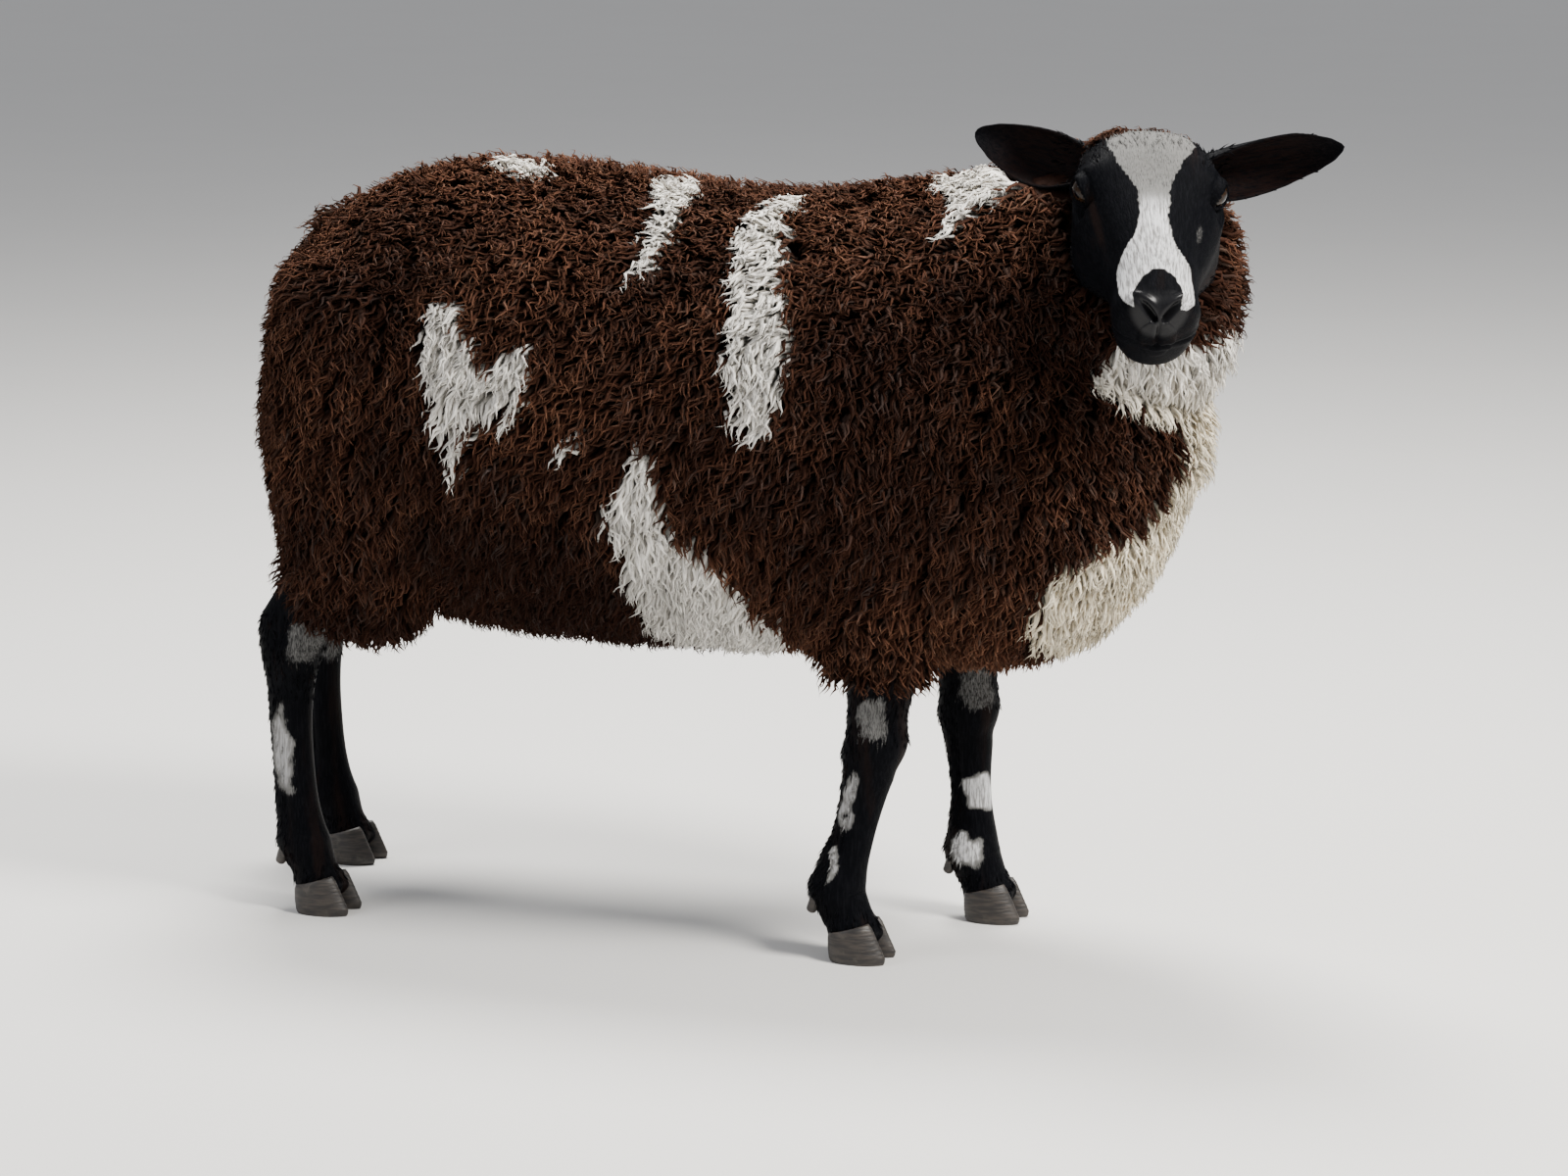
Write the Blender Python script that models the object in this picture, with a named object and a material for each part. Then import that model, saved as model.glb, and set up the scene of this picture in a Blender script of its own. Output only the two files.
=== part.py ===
"""A Dutch spotted ram, life size, standing with its head turned to its right.

The ram faces +X with its left side at +Y, and its hooves stand on z = 0. The body is modelled whole,
from closed lofts and woolly clumps, then parted by thin cuts into the pieces a person would name.
"""

import math
import random

import bmesh
import bpy
import numpy as np
from mathutils import Matrix, Vector
from mathutils.bvhtree import BVHTree

GAP = 0.0003  # clear space between two pieces that touch
HALF_GAP = GAP / 2
MERGE = 0.000002  # points nearer than this become one after a cut
SLIVER = 0.000001  # triangles lower than this are turned into better ones
FAR = 1.5  # half side of the blocks that cut, well past the body
SHIFT = Vector((-0.038, 0.0077, 0.0))  # from the axes of the sizes below to the middle of the ram

# Fleece. The sizes of trunk, neck, thighs, sleeves and tail below reach to the tips of the wool.
CORE_DEPTH = 0.028  # from the tips down to the core, more than half of the 52 mm fleece
CLUMP_LENGTH = 0.170
CLUMP_WIDTH = 0.150
CLUMP_RISE = 0.028  # from the core to the top of a clump
CLUMP_ROOT = 0.012  # the clump's foot, below the core's surface
CLUMP_SIDES = 6
CLUMP_SPACING = 0.102
CLUMP_RINGS = (  # height as a share of the rise, size, and lean along the lie
    (0.20, 1.00, 0.00),
    (0.84, 0.60, 0.12),
)
WOOL_SEED = 11
WOOL_SAMPLES = 6000

TRUNK_RINGS = 11
TRUNK_SIDES = 14
# Trunk, along X: place, height of the back, height of the belly, half width.
TRUNK = (
    (-0.462, 0.560, 0.450, 0.040),
    (-0.445, 0.650, 0.385, 0.100),
    (-0.410, 0.697, 0.340, 0.150),
    (-0.360, 0.729, 0.306, 0.180),
    (-0.280, 0.745, 0.298, 0.198),
    (-0.150, 0.742, 0.292, 0.208),
    (0.000, 0.726, 0.281, 0.213),
    (0.120, 0.728, 0.277, 0.208),
    (0.220, 0.736, 0.270, 0.192),
    (0.310, 0.722, 0.262, 0.172),
    (0.380, 0.680, 0.274, 0.146),
    (0.432, 0.625, 0.320, 0.112),
    (0.458, 0.565, 0.390, 0.078),
    (0.470, 0.520, 0.440, 0.042),
)

# Tubes, from root to end: centre x, y, z, half width across, half depth fore and aft.
NECK = (
    (0.080, 0.000, 0.550, 0.175, 0.175),
    (0.200, 0.000, 0.585, 0.160, 0.160),
    (0.290, -0.006, 0.618, 0.148, 0.142),
    (0.360, -0.010, 0.642, 0.122, 0.142),
    (0.425, -0.016, 0.645, 0.106, 0.122),
)
THIGH = (
    (-0.300, 0.090, 0.600, 0.095, 0.150),
    (-0.320, 0.105, 0.470, 0.085, 0.135),
    (-0.345, 0.105, 0.375, 0.074, 0.110),
    (-0.365, 0.102, 0.312, 0.058, 0.082),
)
TAIL = (
    (-0.385, 0.000, 0.655, 0.048, 0.046),
    (-0.440, 0.000, 0.610, 0.048, 0.046),
    (-0.464, 0.000, 0.520, 0.048, 0.044),
    (-0.468, 0.000, 0.420, 0.046, 0.042),
    (-0.462, 0.000, 0.350, 0.038, 0.036),
)
# The forelegs stand apart: the right one is set back, the left one is upright and ahead.
FORELEG_RIGHT = (
    (0.188, 0.098, 0.400, 0.030, 0.042),
    (0.178, 0.096, 0.290, 0.026, 0.036),
    (0.172, 0.095, 0.240, 0.023, 0.029),
    (0.169, 0.095, 0.205, 0.024, 0.028),
    (0.160, 0.095, 0.165, 0.0185, 0.022),
    (0.149, 0.095, 0.120, 0.017, 0.0195),
    (0.136, 0.095, 0.080, 0.022, 0.025),
    (0.133, 0.095, 0.064, 0.024, 0.027),
    (0.143, 0.095, 0.042, 0.023, 0.024),
    (0.152, 0.095, 0.018, 0.027, 0.027),
)
FORELEG_LEFT = (
    (0.205, 0.098, 0.400, 0.030, 0.042),
    (0.200, 0.096, 0.290, 0.026, 0.036),
    (0.200, 0.095, 0.240, 0.023, 0.029),
    (0.201, 0.095, 0.205, 0.024, 0.028),
    (0.203, 0.095, 0.165, 0.0185, 0.022),
    (0.205, 0.095, 0.120, 0.017, 0.0195),
    (0.206, 0.095, 0.080, 0.022, 0.025),
    (0.207, 0.095, 0.064, 0.024, 0.027),
    (0.217, 0.095, 0.042, 0.023, 0.024),
    (0.226, 0.095, 0.018, 0.027, 0.027),
)
HINDLEG = (
    (-0.345, 0.100, 0.420, 0.035, 0.055),
    (-0.385, 0.100, 0.345, 0.026, 0.042),
    (-0.418, 0.100, 0.300, 0.021, 0.034),
    (-0.431, 0.100, 0.268, 0.022, 0.033),
    (-0.434, 0.100, 0.228, 0.018, 0.025),
    (-0.432, 0.100, 0.150, 0.0165, 0.0200),
    (-0.426, 0.100, 0.085, 0.020, 0.0235),
    (-0.422, 0.100, 0.066, 0.023, 0.026),
    (-0.412, 0.100, 0.042, 0.022, 0.023),
    (-0.403, 0.100, 0.018, 0.026, 0.027),
)
HIND_LEFT_BACK = -0.064  # the left hind foot stands this far behind the right one
SLEEVE_TOP = (0.450, 0.085, 0.115)  # height, half width, half depth of the wool on the upper foreleg
SLEEVE_MIDDLE = (0.345, 0.068, 0.088)
SLEEVE_HEM = (0.272, 0.052, 0.066)

# Head. Its own axes: x to the nose, y to the left ear, z up; zero is the crest above the ears.
CREST = Vector((0.431, -0.100, 0.792))
HEAD_TURN = math.radians(20.5)  # from facing straight to the right, towards the front
HEAD_PITCH = math.radians(39.5)  # the face line, below level
HEAD_ROLL = math.radians(2.4)  # the left ear, below the right one
# place, top, bottom, height of the widest line, half width, fullness above, fullness below
HEAD = (
    (-0.062, -0.080, -0.122, -0.100, 0.030, 2.0, 2.0),
    (-0.050, -0.058, -0.138, -0.092, 0.046, 2.2, 2.1),
    (-0.025, -0.025, -0.146, -0.078, 0.057, 2.3, 2.3),
    (0.000, -0.003, -0.146, -0.066, 0.062, 2.4, 2.4),
    (0.022, 0.001, -0.142, -0.060, 0.0645, 2.4, 2.5),
    (0.040, 0.000, -0.135, -0.056, 0.0645, 2.4, 2.5),
    (0.058, -0.002, -0.127, -0.056, 0.0630, 2.2, 2.8),
    (0.080, -0.004, -0.120, -0.057, 0.0585, 2.0, 2.8),
    (0.105, -0.006, -0.111, -0.058, 0.0510, 1.9, 2.5),
    (0.130, -0.009, -0.104, -0.058, 0.0432, 1.9, 2.2),
    (0.150, -0.012, -0.102, -0.058, 0.0388, 2.0, 2.1),
    (0.168, -0.016, -0.105, -0.058, 0.0375, 2.2, 2.1),
    (0.182, -0.021, -0.106, -0.057, 0.0355, 2.3, 2.1),
    (0.192, -0.028, -0.099, -0.056, 0.0280, 2.2, 2.0),
    (0.198, -0.038, -0.082, -0.055, 0.0160, 2.0, 2.0),
)
HEAD_SIDES = 22
HEAD_RINGS = 19
EYE = Vector((0.041, 0.0560, -0.034))
EYE_RADIUS = 0.0135
EYE_FORWARD = math.radians(28)  # the eye looks out to the side, turned this far forwards
LID_LENGTH = 0.0155
LID_HEIGHT = 0.0105
LID_THICK = 0.0034
LID_CLEARANCE = 0.0085  # round the eyeball, clear of the lids
# Swellings of the head: place, reach, height
HEAD_FORMS = (
    ((0.041, 0.062, -0.034), 0.022, 0.0060),  # rim of the eye's socket
    ((0.034, 0.054, -0.014), 0.015, 0.0030),  # brow
    ((0.068, 0.054, -0.088), 0.034, 0.0055),  # cheek
    ((0.092, 0.048, -0.102), 0.026, 0.0090),  # lower edge of the jaw
    ((0.186, 0.020, -0.026), 0.012, 0.0030),  # wing of the nostril
    ((0.178, 0.034, -0.046), 0.016, 0.0025),  # upper lip
    ((0.176, 0.024, -0.090), 0.018, 0.0020),  # lower lip
)
MOUTH_CORNER = 0.142
MOUTH_HEIGHT = -0.070
MOUTH_OPENING = 0.0018
MOUTH_DEPTH = 0.0045
NOSTRIL_INNER = Vector((0.197, 0.0045, -0.037))
NOSTRIL_OUTER = Vector((0.180, 0.0225, -0.026))
NOSTRIL_WIDTH = 0.0058
NOSTRIL_DEPTH = 0.010

# Ears: root in the head's axes, the way each points and the way its cup opens.
EAR_ROOT = Vector((-0.010, 0.036, -0.062))
EAR_LENGTH = 0.146
EAR_HALF_WIDTH = 0.0288
EAR_THICKNESS = 0.0042
EARS = {
    "ear_left": (Vector((0.00, 0.95, 0.27)), Vector((1.00, 0.10, 0.35))),
    "ear_right": (Vector((-0.60, -0.755, -0.285)), Vector((0.60, -0.40, 0.78))),
}
EAR_CLEARANCE = 0.001  # between an ear and the wool round its root

# Feet
CLAW_LENGTH = 0.056
CLAW_HALF_WIDTH = 0.0135
CLAW_CLEFT = 0.0036
CORONET_HEIGHT = 0.031
CORONET_SLOPE = math.radians(14)
CLAW_SIDES = 14
DEWCLAW_RADIUS = 0.0075
DEWCLAW_LENGTH = 0.020

# Cuts
NECK_CUT = (Vector((0.250, 0.0, 0.580)), Vector((0.70, 0.0, 0.714)))
THIGH_CUT = (Vector((-0.350, 0.0, 0.395)), Vector((-0.447, 0.0, -0.894)))
ELBOW_Z = 0.305
THIGH_HEM = 0.290  # heights where wool ends and the bare lower legs begin
SLEEVE_HEM_CUT = 0.232
SLEEVE_BOX_HALF = 0.090  # half length along X of the block that parts a foreleg from the trunk
SLEEVE_BOX_INNER = 0.025
SLEEVE_BOX_OUTER = 0.300
TAIL_BOX_FRONT = -0.436
TAIL_BOX_HALF = 0.052
TAIL_BOX_TOP = 0.690
TAIL_BOX_BOTTOM = 0.250

COLOURS = {  # colour, roughness
    "fleece": ((0.060, 0.024, 0.013, 1.0), 0.95),
    "face": ((0.014, 0.013, 0.014, 1.0), 0.70),
    "leg": ((0.016, 0.014, 0.014, 1.0), 0.75),
    "eye": ((0.020, 0.012, 0.006, 1.0), 0.08),
    "hoof": ((0.030, 0.025, 0.022, 1.0), 0.45),
}


def clear_scene():
    for obj in list(bpy.data.objects):
        bpy.data.objects.remove(obj)


def material(name):
    """The named material, made on its first use."""
    found = bpy.data.materials.get(name)
    if found:
        return found
    made = bpy.data.materials.new(name)
    made.use_nodes = True
    shader = made.node_tree.nodes["Principled BSDF"]
    colour, roughness = COLOURS[name]
    shader.inputs["Base Color"].default_value = colour
    shader.inputs["Roughness"].default_value = roughness
    return made


def spline(rows, at):
    """The rows' values at each place along their first column, on a smooth curve through them."""
    rows = np.array(rows, float)
    place, value = rows[:, 0], rows[:, 1:]
    slope = np.gradient(value, place, axis=0)
    at = np.clip(np.asarray(at, float), place[0], place[-1])
    left = np.clip(np.searchsorted(place, at, side="right") - 1, 0, len(place) - 2)
    width = (place[left + 1] - place[left])[:, None]
    t = (at[:, None] - place[left][:, None]) / width
    return (
        value[left] * (1 + 2 * t) * (1 - t) ** 2
        + slope[left] * width * t * (1 - t) ** 2
        + value[left + 1] * t**2 * (3 - 2 * t)
        + slope[left + 1] * width * t**2 * (t - 1)
    )


def mesh_object(name, points, faces):
    mesh = bpy.data.meshes.new(name)
    mesh.from_pydata([tuple(p) for p in points], [], faces)
    mesh.update()
    obj = bpy.data.objects.new(name, mesh)
    bpy.context.scene.collection.objects.link(obj)
    return obj


def loft(name, rings, first_pole, last_pole):
    """A closed skin over rings of points that turn left seen from the last pole."""
    sides = len(rings[0])
    points = [first_pole, *(p for ring in rings for p in ring), last_pole]
    last = len(points) - 1
    faces = []
    for i in range(sides):
        j = (i + 1) % sides
        faces.append((0, 1 + j, 1 + i))
        faces.append((last, last - sides + i, last - sides + j))
        for r in range(len(rings) - 1):
            a, b = 1 + r * sides, 1 + (r + 1) * sides
            faces += [(a + i, a + j, b + j), (a + i, b + j, b + i)]
    return mesh_object(name, points, faces)


def power(value, exponent):
    return math.copysign(abs(value) ** exponent, value)


def tube(name, keys, count, sides, grow=0.0, fullness=2.0, ends=0.55):
    """A round-ended tube through keys of centre, half width across and half depth fore and aft."""
    keys = np.array(keys, float)
    steps = np.linalg.norm(np.diff(keys[:, :3], axis=0), axis=1)
    along = np.concatenate([[0.0], np.cumsum(steps)])
    at = np.linspace(0.0, along[-1], count)
    rows = spline(np.column_stack([along, keys]), at)
    centres, sizes = rows[:, :3], rows[:, 3:] + grow
    tangents = np.gradient(centres, at, axis=0)
    stations = []
    for end, sign in ((0, -1), (-1, 1)):
        t = tangents[end] / np.linalg.norm(tangents[end])
        reach = ends * sizes[end].min() * sign
        cap = [(centres[end] + t * reach * 0.60, sizes[end] * 0.80, tangents[end])]
        cap.append((centres[end] + t * reach * 0.92, sizes[end] * 0.42, tangents[end]))
        stations.append(cap)
    body = [(centres[i], sizes[i], tangents[i]) for i in range(count)]
    path = stations[0][::-1] + body + stations[1]
    rings = []
    for centre, size, tangent in path:
        t = Vector(tangent).normalized()
        across = Vector((0, 1, 0))
        across = (across - t * across.dot(t)).normalized()
        fore = across.cross(t)
        ring = []
        for k in range(sides):
            angle = 2 * math.pi * k / sides
            a = power(math.cos(angle), 2 / fullness) * size[0]
            b = power(math.sin(angle), 2 / fullness) * size[1]
            ring.append(Vector(centre) - across * a + fore * b)
        rings.append(ring)
    poles = []
    for end, sign in ((0, -1), (-1, 1)):
        t = Vector(tangents[end]).normalized()
        poles.append(Vector(centres[end]) + t * sign * ends * sizes[end].min())
    return loft(name, rings, *poles)


def mirrored(keys, side):
    """Keys written for the left side, for side 1 (left) or -1 (right)."""
    return [(x, y * side, *rest) for x, y, *rest in keys]


def trunk(grow, count=TRUNK_RINGS, sides=TRUNK_SIDES):
    rows = np.array(TRUNK)
    at = np.linspace(TRUNK[0][0], TRUNK[-1][0], count)
    # More rings towards the two ends, where the form turns fastest.
    middle, half = (at[0] + at[-1]) / 2, (at[-1] - at[0]) / 2
    at = middle + half * np.sin((at - middle) / half * math.pi / 2)
    sizes = spline(rows, at)
    shrink = 1 + grow / half
    rings = []
    for x, (top, bottom, width) in zip(at, sizes):
        centre = (top + bottom) / 2
        high = max((top - bottom) / 2 + grow, 0.015)
        wide = max(width + grow, 0.015)
        ring = []
        for k in range(sides):
            angle = 2 * math.pi * k / sides
            y = power(math.cos(angle), 2 / 2.25) * wide
            z = power(math.sin(angle), 2 / 2.25) * high
            ring.append(Vector(((x - middle) * shrink + middle, y, centre + z)))
        rings.append(ring)
    ends = []
    for x, (top, bottom, _), sign in ((at[0], sizes[0], -1), (at[-1], sizes[-1], 1)):
        ends.append(Vector(((x - middle) * shrink + middle + sign * 0.004, 0, (top + bottom) / 2)))
    return loft("trunk", rings, *ends)


def apply_modifiers(obj):
    """Swaps the object's mesh for what its modifiers make of it."""
    graph = bpy.context.evaluated_depsgraph_get()
    made = bpy.data.meshes.new_from_object(obj.evaluated_get(graph))
    obj.modifiers.clear()
    obj.data = made


def boolean(obj, other, operation, solver="MANIFOLD"):
    """obj united with, or cut by, another object or a collection of them, which are then removed."""
    modifier = obj.modifiers.new("join", "BOOLEAN")
    modifier.operation = operation
    modifier.solver = solver
    if isinstance(other, bpy.types.Collection):
        modifier.operand_type = "COLLECTION"
        modifier.collection = other
        spent = list(other.objects)
    else:
        modifier.object = other
        spent = [other]
    apply_modifiers(obj)
    for used in spent:
        bpy.data.objects.remove(used)
    if isinstance(other, bpy.types.Collection):
        bpy.data.collections.remove(other)


def join_all(obj, pieces, solver="MANIFOLD"):
    group = bpy.data.collections.new("pieces")
    bpy.context.scene.collection.children.link(group)
    for piece in pieces:
        bpy.context.scene.collection.objects.unlink(piece)
        group.objects.link(piece)
    boolean(obj, group, "UNION", solver)


def mend_slivers(bm):
    """Turns the longest side of each triangle that has next to no height."""
    for _ in range(4):
        thin = [f for f in bm.faces if 2 * f.calc_area() < SLIVER * max(e.calc_length() for e in f.edges)]
        for face in thin:
            if face.is_valid:
                longest = max(face.edges, key=lambda e: e.calc_length())
                bmesh.utils.edge_rotate(longest)


def keep_largest(obj):
    """Drops all but the largest closed surface of the mesh."""
    bm = bmesh.new()
    bm.from_mesh(obj.data)
    left = set(bm.faces)
    groups = []
    while left:
        found, todo = set(), [left.pop()]
        while todo:
            face = todo.pop()
            found.add(face)
            for edge in face.edges:
                for near in edge.link_faces:
                    if near in left:
                        left.remove(near)
                        todo.append(near)
        groups.append(found)
    largest = max(groups, key=lambda faces: sum(f.calc_area() for f in faces))
    spare = [f for faces in groups if faces is not largest for f in faces]
    bmesh.ops.delete(bm, geom=spare, context="FACES")
    bmesh.ops.remove_doubles(bm, verts=bm.verts, dist=MERGE)
    bmesh.ops.triangulate(bm, faces=bm.faces)
    mend_slivers(bm)
    bm.to_mesh(obj.data)
    bm.free()


def block(low, high):
    """A box between two corners."""
    corners = [(x, y, z) for x in (low[0], high[0]) for y in (low[1], high[1]) for z in (low[2], high[2])]
    faces = [(0, 1, 3, 2), (4, 6, 7, 5), (0, 4, 5, 1), (2, 3, 7, 6), (0, 2, 6, 4), (1, 5, 7, 3)]
    return mesh_object("block", corners, faces)


def half_space(point, normal, offset=0.0):
    """A great block that fills the side of a plane that its normal points to."""
    made = block((-FAR, -FAR, 0.0), (FAR, FAR, 2 * FAR))
    normal = Vector(normal).normalized()
    turn = normal.to_track_quat("Z", "Y").to_matrix().to_4x4()
    made.data.transform(Matrix.Translation(Vector(point) + normal * offset) @ turn)
    return made


def copy_of(obj, name):
    made = bpy.data.objects.new(name, obj.data.copy())
    bpy.context.scene.collection.objects.link(made)
    return made


def cut_off(obj, point, normal, gap=HALF_GAP):
    """Removes what lies on the side that the normal points to."""
    boolean(obj, half_space(point, normal, -gap), "DIFFERENCE")


def head_matrix():
    """From the head's own axes to the ram's."""
    nose = Vector(
        (
            math.sin(HEAD_TURN) * math.cos(HEAD_PITCH),
            -math.cos(HEAD_TURN) * math.cos(HEAD_PITCH),
            -math.sin(HEAD_PITCH),
        )
    )
    up = Vector(
        (
            math.sin(HEAD_TURN) * math.sin(HEAD_PITCH),
            -math.cos(HEAD_TURN) * math.sin(HEAD_PITCH),
            math.cos(HEAD_PITCH),
        )
    )
    left = up.cross(nose)
    turn = Matrix((nose, left, up)).transposed().to_4x4()
    return Matrix.Translation(CREST) @ turn @ Matrix.Rotation(-HEAD_ROLL, 4, "X")


def head_point(section, angle, grow=0.0):
    """A point of the head's surface: the section is a row of HEAD, the angle runs from the left up."""
    x, top, bottom, widest, width, above, below = section
    c, s = math.cos(angle), math.sin(angle)
    fullness = above if s >= 0 else below
    rise = top - widest if s >= 0 else widest - bottom
    y = power(c, 2 / fullness) * (width + grow)
    z = widest + power(s, 2 / fullness) * (rise + grow)
    point = Vector((x, y, z))
    outward = Vector((0.0, c, s))
    for centre, reach, height in HEAD_FORMS:
        side = Vector((centre[0], math.copysign(centre[1], y), centre[2]))
        point += outward * height * math.exp(-((point - side).length / reach) ** 2)
    return point


def head_sections(count):
    at = np.linspace(0, 1, count)
    at = HEAD[0][0] + (HEAD[-1][0] - HEAD[0][0]) * (at + 0.10 * np.sin(2 * math.pi * at) * -0.5)
    return [(x, *row) for x, row in zip(at, spline(HEAD, at))]


def head_loft(grow=0.0, count=HEAD_RINGS, sides=HEAD_SIDES):
    rings = []
    for section in head_sections(count):
        rings.append([head_point(section, 2 * math.pi * (k + 0.5) / sides, grow) for k in range(sides)])
    back = Vector((HEAD[0][0] - 0.006 - grow, 0, HEAD[0][3]))
    front = Vector((HEAD[-1][0] + 0.002 + grow, 0, HEAD[-1][3]))
    made = loft("head", rings, back, front)
    made.data.transform(head_matrix())
    return made


def mouth_cutter():
    """A thin strip that runs round the muzzle from one corner of the mouth to the other."""
    outline = []
    for x in (MOUTH_CORNER, 0.156, 0.168, 0.178, 0.186, 0.192, 0.196, 0.1985):
        row = spline(HEAD, [min(x, HEAD[-1][0])])[0]
        outline.append(Vector((x, row[3] + 0.0025, 0)))
    outline[-1].y = 0.010
    outline.append(Vector((0.2005, 0.0, 0)))
    outline += [Vector((p.x, -p.y, 0)) for p in outline[-2::-1]]
    rings = []
    for i, p in enumerate(outline):
        along = (outline[min(i + 1, len(outline) - 1)] - outline[max(i - 1, 0)]).normalized()
        out = Vector((-along.y, along.x, 0))
        droop = 0.006 * ((0.200 - p.x) / 0.058) ** 2
        level = MOUTH_HEIGHT + 0.004 - droop
        low, high = level - MOUTH_OPENING / 2, level + MOUTH_OPENING / 2
        inner, outer = p - out * MOUTH_DEPTH, p + out * 0.006
        if i in (0, len(outline) - 1):
            inner = p + out * 0.001
        rings.append(
            [
                Vector((inner.x, inner.y, low)),
                Vector((outer.x, outer.y, low)),
                Vector((outer.x, outer.y, high)),
                Vector((inner.x, inner.y, high)),
            ]
        )
    first = sum(rings[0], Vector()) / 4
    last = sum(rings[-1], Vector()) / 4
    return loft("mouth", rings, first, last)


def nostril_cutter(side):
    """A curved slit that slants from beside the lip up to the wing of the nose."""
    rings = []
    steps = 5
    for i in range(steps):
        t = i / (steps - 1)
        p = NOSTRIL_INNER.lerp(NOSTRIL_OUTER, t)
        p.z += 0.0022 * math.sin(math.pi * t)
        inward = Vector((-0.85, -0.25, -0.10 - 0.25 * t)).normalized()
        along = (NOSTRIL_OUTER - NOSTRIL_INNER).normalized()
        wide = along.cross(inward).normalized()
        half = NOSTRIL_WIDTH / 2 * (0.35 + 0.65 * math.sin(math.pi * (0.15 + 0.8 * t)))
        ring = []
        for k in range(6):
            angle = 2 * math.pi * k / 6
            ring.append(p + wide * half * math.cos(angle) + inward * NOSTRIL_DEPTH * math.sin(angle) * 0.8)
        rings.append([Vector((q.x, q.y * side, q.z)) for q in ring])
    first = sum(rings[0], Vector()) / 6
    last = sum(rings[-1], Vector()) / 6
    return loft("nostril", rings, first, last)


def facing_out(obj):
    bm = bmesh.new()
    bm.from_mesh(obj.data)
    bmesh.ops.recalc_face_normals(bm, faces=bm.faces)
    bm.to_mesh(obj.data)
    bm.free()
    return obj


def eye_frame(side):
    """The eye's place and axes in the head's own axes: out, forwards and up."""
    out = Vector((math.sin(EYE_FORWARD), side * math.cos(EYE_FORWARD), 0.10)).normalized()
    up = Vector((0.20, 0, 1))
    up = (up - out * up.dot(out)).normalized()
    fore = out.cross(up) * -side
    centre = Vector((EYE.x, side * EYE.y, EYE.z))
    return centre, out, fore, up


def eyeball(name, side, grow=0.0):
    bm = bmesh.new()
    bmesh.ops.create_icosphere(bm, subdivisions=2, radius=EYE_RADIUS + grow)
    mesh = bpy.data.meshes.new(name)
    bm.to_mesh(mesh)
    bm.free()
    centre = eye_frame(side)[0]
    mesh.transform(head_matrix() @ Matrix.Translation(centre))
    obj = bpy.data.objects.new(name, mesh)
    bpy.context.scene.collection.objects.link(obj)
    return obj


def lid(side, upper):
    """One eyelid: a thick curved fold over or under the eye, from corner to corner."""
    centre, out, fore, up = eye_frame(side)
    steps = 7
    rings = []
    way = 1 if upper else -1
    for i in range(steps):
        t = i / (steps - 1)
        angle = math.pi * t
        flat = -math.cos(angle) * (LID_LENGTH if upper else LID_LENGTH - 0.0016)
        high = math.sin(angle) * LID_HEIGHT * way * (1.0 if upper else 0.85)
        thick = LID_THICK * (0.55 + 0.45 * math.sin(angle)) * (1.15 if upper else 0.9)
        # The lids lie on a ball a little larger than the eye.
        ball = EYE_RADIUS + 0.0016
        depth = math.sqrt(max(ball**2 - flat**2 * 0.75 - high**2, 0.00002))
        high += 0.0008 * way
        middle = centre + fore * flat + up * high + out * depth * 0.90
        along = (fore * math.sin(angle) * LID_LENGTH + up * math.cos(angle) * LID_HEIGHT * way).normalized()
        across = out.cross(along).normalized()
        ring = []
        for k in range(6):
            turn = 2 * math.pi * k / 6
            ring.append(middle + across * thick * math.cos(turn) + out * thick * 1.1 * math.sin(turn))
        rings.append(ring)
    made = loft("lid", rings, sum(rings[0], Vector()) / 6, sum(rings[-1], Vector()) / 6)
    return facing_out(made)


def build_head():
    head = head_loft()
    lids = [lid(side, upper) for side in (1, -1) for upper in (True, False)]
    for piece in lids:
        piece.data.transform(head_matrix())
    join_all(head, lids)
    cutters = [facing_out(mouth_cutter())] + [facing_out(nostril_cutter(side)) for side in (1, -1)]
    for cutter in cutters:
        cutter.data.transform(head_matrix())
        boolean(head, cutter, "DIFFERENCE")
    for side, name in ((1, "eye_left"), (-1, "eye_right")):
        boolean(head, eyeball("socket", side, GAP), "DIFFERENCE")
        finish(eyeball(name, side), name, "eye")
    return head


def ear(name, side, grow=0.0):
    """A leaf-shaped ear, closed to a tube at its root and open in a cup towards the front."""
    points_to, opens = (v.normalized() for v in EARS["ear_left" if side > 0 else "ear_right"])
    opens = (opens - points_to * opens.dot(points_to)).normalized()
    across = points_to.cross(opens)
    root = Vector((EAR_ROOT.x, EAR_ROOT.y * side, EAR_ROOT.z))
    rings = []
    stations = 9
    arc_points = 7
    for i in range(stations):
        t = i / (stations - 1)
        width = EAR_HALF_WIDTH * (0.50 + 1.9 * t) * (1.02 - t) ** 0.72 / 0.95
        spread = math.radians(128 - 78 * min(1.0, t * 1.35))
        radius = width / math.sin(min(spread, math.pi / 2))
        spread += 1.2 * grow / radius
        thick = EAR_THICKNESS * (1.0 - 0.55 * t)
        curve = opens * 0.012 * math.sin(math.pi * t) + Vector((0, 0, 0.007)) * math.sin(math.pi * t)
        centre = root + points_to * EAR_LENGTH * t + opens * radius * 0.75 - curve
        outer, inner = [], []
        for k in range(arc_points):
            angle = spread * (2 * k / (arc_points - 1) - 1)
            way = across * math.sin(angle) - opens * math.cos(angle)
            outer.append(centre + way * (radius + grow))
            inner.append(centre + way * (radius - thick - grow))
        rings.append(outer + inner[::-1])
    first = sum(rings[0], Vector()) / len(rings[0])
    last = sum(rings[-1], Vector()) / len(rings[-1]) + points_to * 0.002
    made = facing_out(loft(name, rings, first - points_to * grow, last + points_to * grow))
    made.data.transform(head_matrix())
    return made


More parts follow.
